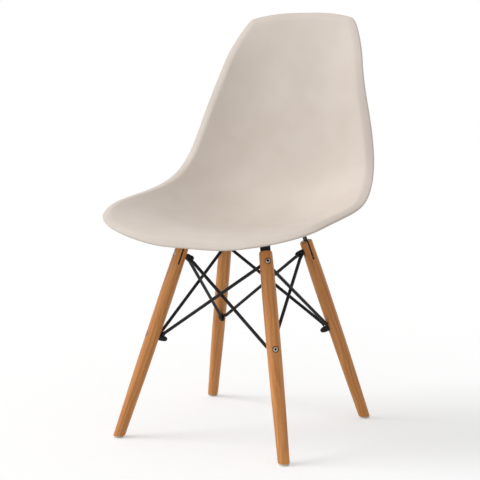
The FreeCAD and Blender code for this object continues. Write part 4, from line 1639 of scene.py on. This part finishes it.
@dataclass
class Studio:
    """Camera, floor, background and lamps."""
    azimuth: float = 29.2
    elevation: float = 7.88
    distance: float = 2506.064 * MM
    lens: float = 96.437
    sensor: float = 36.0
    target_right: float = -9.858 * MM
    target_height: float = 375.33 * MM
    ambient: float = 0.58
    ambient_slant: float = 0.5
    ambient_rise: float = 0.3
    floor_size: float = 60.0
    floor_grey: float = 0.72
    floor_glow: float = 0.352
    key_from: tuple[float, float, float] = (-0.82, -0.42, 0.76)
    key_strength: float = 1.25
    key_angle: float = 32.0
    fill_from: tuple[float, float, float] = (-0.70, -0.70, 0.10)
    fill_strength: float = 0.2
    fill_angle: float = 50.0

    def add(self, data: bpy.types.ID, way: Vector) -> bpy.types.Object:
        """Adds a camera or a lamp that points a way.

        Args:
            data: The camera or the lamp.
            way: Where it points.

        Returns:
            Its object.
        """
        made = bpy.data.objects.new(data.name, data)
        bpy.context.scene.collection.objects.link(made)
        made.rotation_mode = "QUATERNION"
        made.rotation_quaternion = way.to_track_quat("-Z", "Y")
        return made

    def camera(self) -> None:
        """Sets the camera at the photograph's angle."""
        turn, tilt = math.radians(self.azimuth), math.radians(self.elevation)
        right = Vector((math.cos(turn), math.sin(turn), 0))
        back = Vector((math.sin(turn) * math.cos(tilt), -math.cos(turn) * math.cos(tilt),
                       math.sin(tilt)))
        target = right * self.target_right + Vector((0, BASE.shift, self.target_height))
        data = bpy.data.cameras.new("camera")
        data.lens = self.lens
        data.sensor_width = self.sensor
        data.clip_start, data.clip_end = 0.05, self.floor_size
        camera = self.add(data, -back)
        camera.location = target + back * self.distance
        bpy.context.scene.camera = camera

    def seen(self, shader: Shader) -> Value:
        """1 for rays that show a surface directly, in a gloss or through glass.

        Args:
            shader: The tree that it is for.

        Returns:
            The value.
        """
        rays = [shader.node("ShaderNodeLightPath", {}, {}, name)
                for name in ("Is Camera Ray", "Is Glossy Ray", "Is Transmission Ray")]
        return (rays[0] + rays[1] + rays[2]).clamped(0, 1)

    def floor(self) -> None:
        """A pale floor that keeps the shadows and melts into the background."""
        bpy.ops.object.select_all(action="DESELECT")
        bpy.ops.mesh.primitive_plane_add(size=self.floor_size)
        floor = bpy.context.object
        floor.name = "floor"
        shader = Shader(bpy.data.materials.new("floor"))
        matt = shader.node("ShaderNodeBsdfDiffuse", {}, {"Color": (self.floor_grey,) * 3 + (1,)})
        glow = shader.node("ShaderNodeEmission", {},
                           {"Strength": self.seen(shader) * self.floor_glow})
        floor.data.materials.append(
            shader.ended(shader.node("ShaderNodeAddShader", {}, {0: matt, 1: glow})))

    def background(self) -> None:
        """White where it is seen; elsewhere soft light that is stronger from the key's side."""
        world = bpy.context.scene.world = bpy.data.worlds.new("world")
        shader = Shader(world, "ShaderNodeOutputWorld")
        seen = self.seen(shader)
        side = Vector((*self.key_from[:2], self.ambient_rise)).normalized()
        around = shader.node("ShaderNodeTexCoord", {}, {}, "Generated")
        toward = shader.node("ShaderNodeVectorMath", {"operation": "DOT_PRODUCT"},
                             {0: around, 1: tuple(side)}, "Value")
        soft = (toward * self.ambient_slant + 1) * self.ambient
        shader.ended(shader.node("ShaderNodeBackground", {}, {
            "Color": (1, 1, 1, 1), "Strength": soft + seen * (1 - soft)}))

    def sun(self, name: str, source: Sequence[float], strength: float, angle: float) -> None:
        """Adds a lamp that is the same all over the floor.

        Args:
            name: The lamp's name.
            source: The direction that its light comes from.
            strength: Its power on a square metre.
            angle: How wide it is, in degrees; wide lamps cast soft shadows.
        """
        data = bpy.data.lights.new(name, "SUN")
        data.energy = strength
        data.angle = math.radians(angle)
        self.add(data, -Vector(source))

    def build(self) -> None:
        """Sets the whole studio."""
        bpy.context.scene.view_settings.view_transform = "Standard"
        self.camera()
        self.floor()
        self.background()
        self.sun("key", self.key_from, self.key_strength, self.key_angle)
        self.sun("fill", self.fill_from, self.fill_strength, self.fill_angle)


def main() -> None:
    """Builds the studio and the chair; each piece is reported as it is dressed."""
    logging.basicConfig(level=logging.INFO, format="%(message)s")
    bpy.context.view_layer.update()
    for part in (Studio(), SeatShell(), Leg(), Glide(), Bracket(), *BRACES, Fasteners()):
        part.build()


if __name__ == "__main__":
    main()
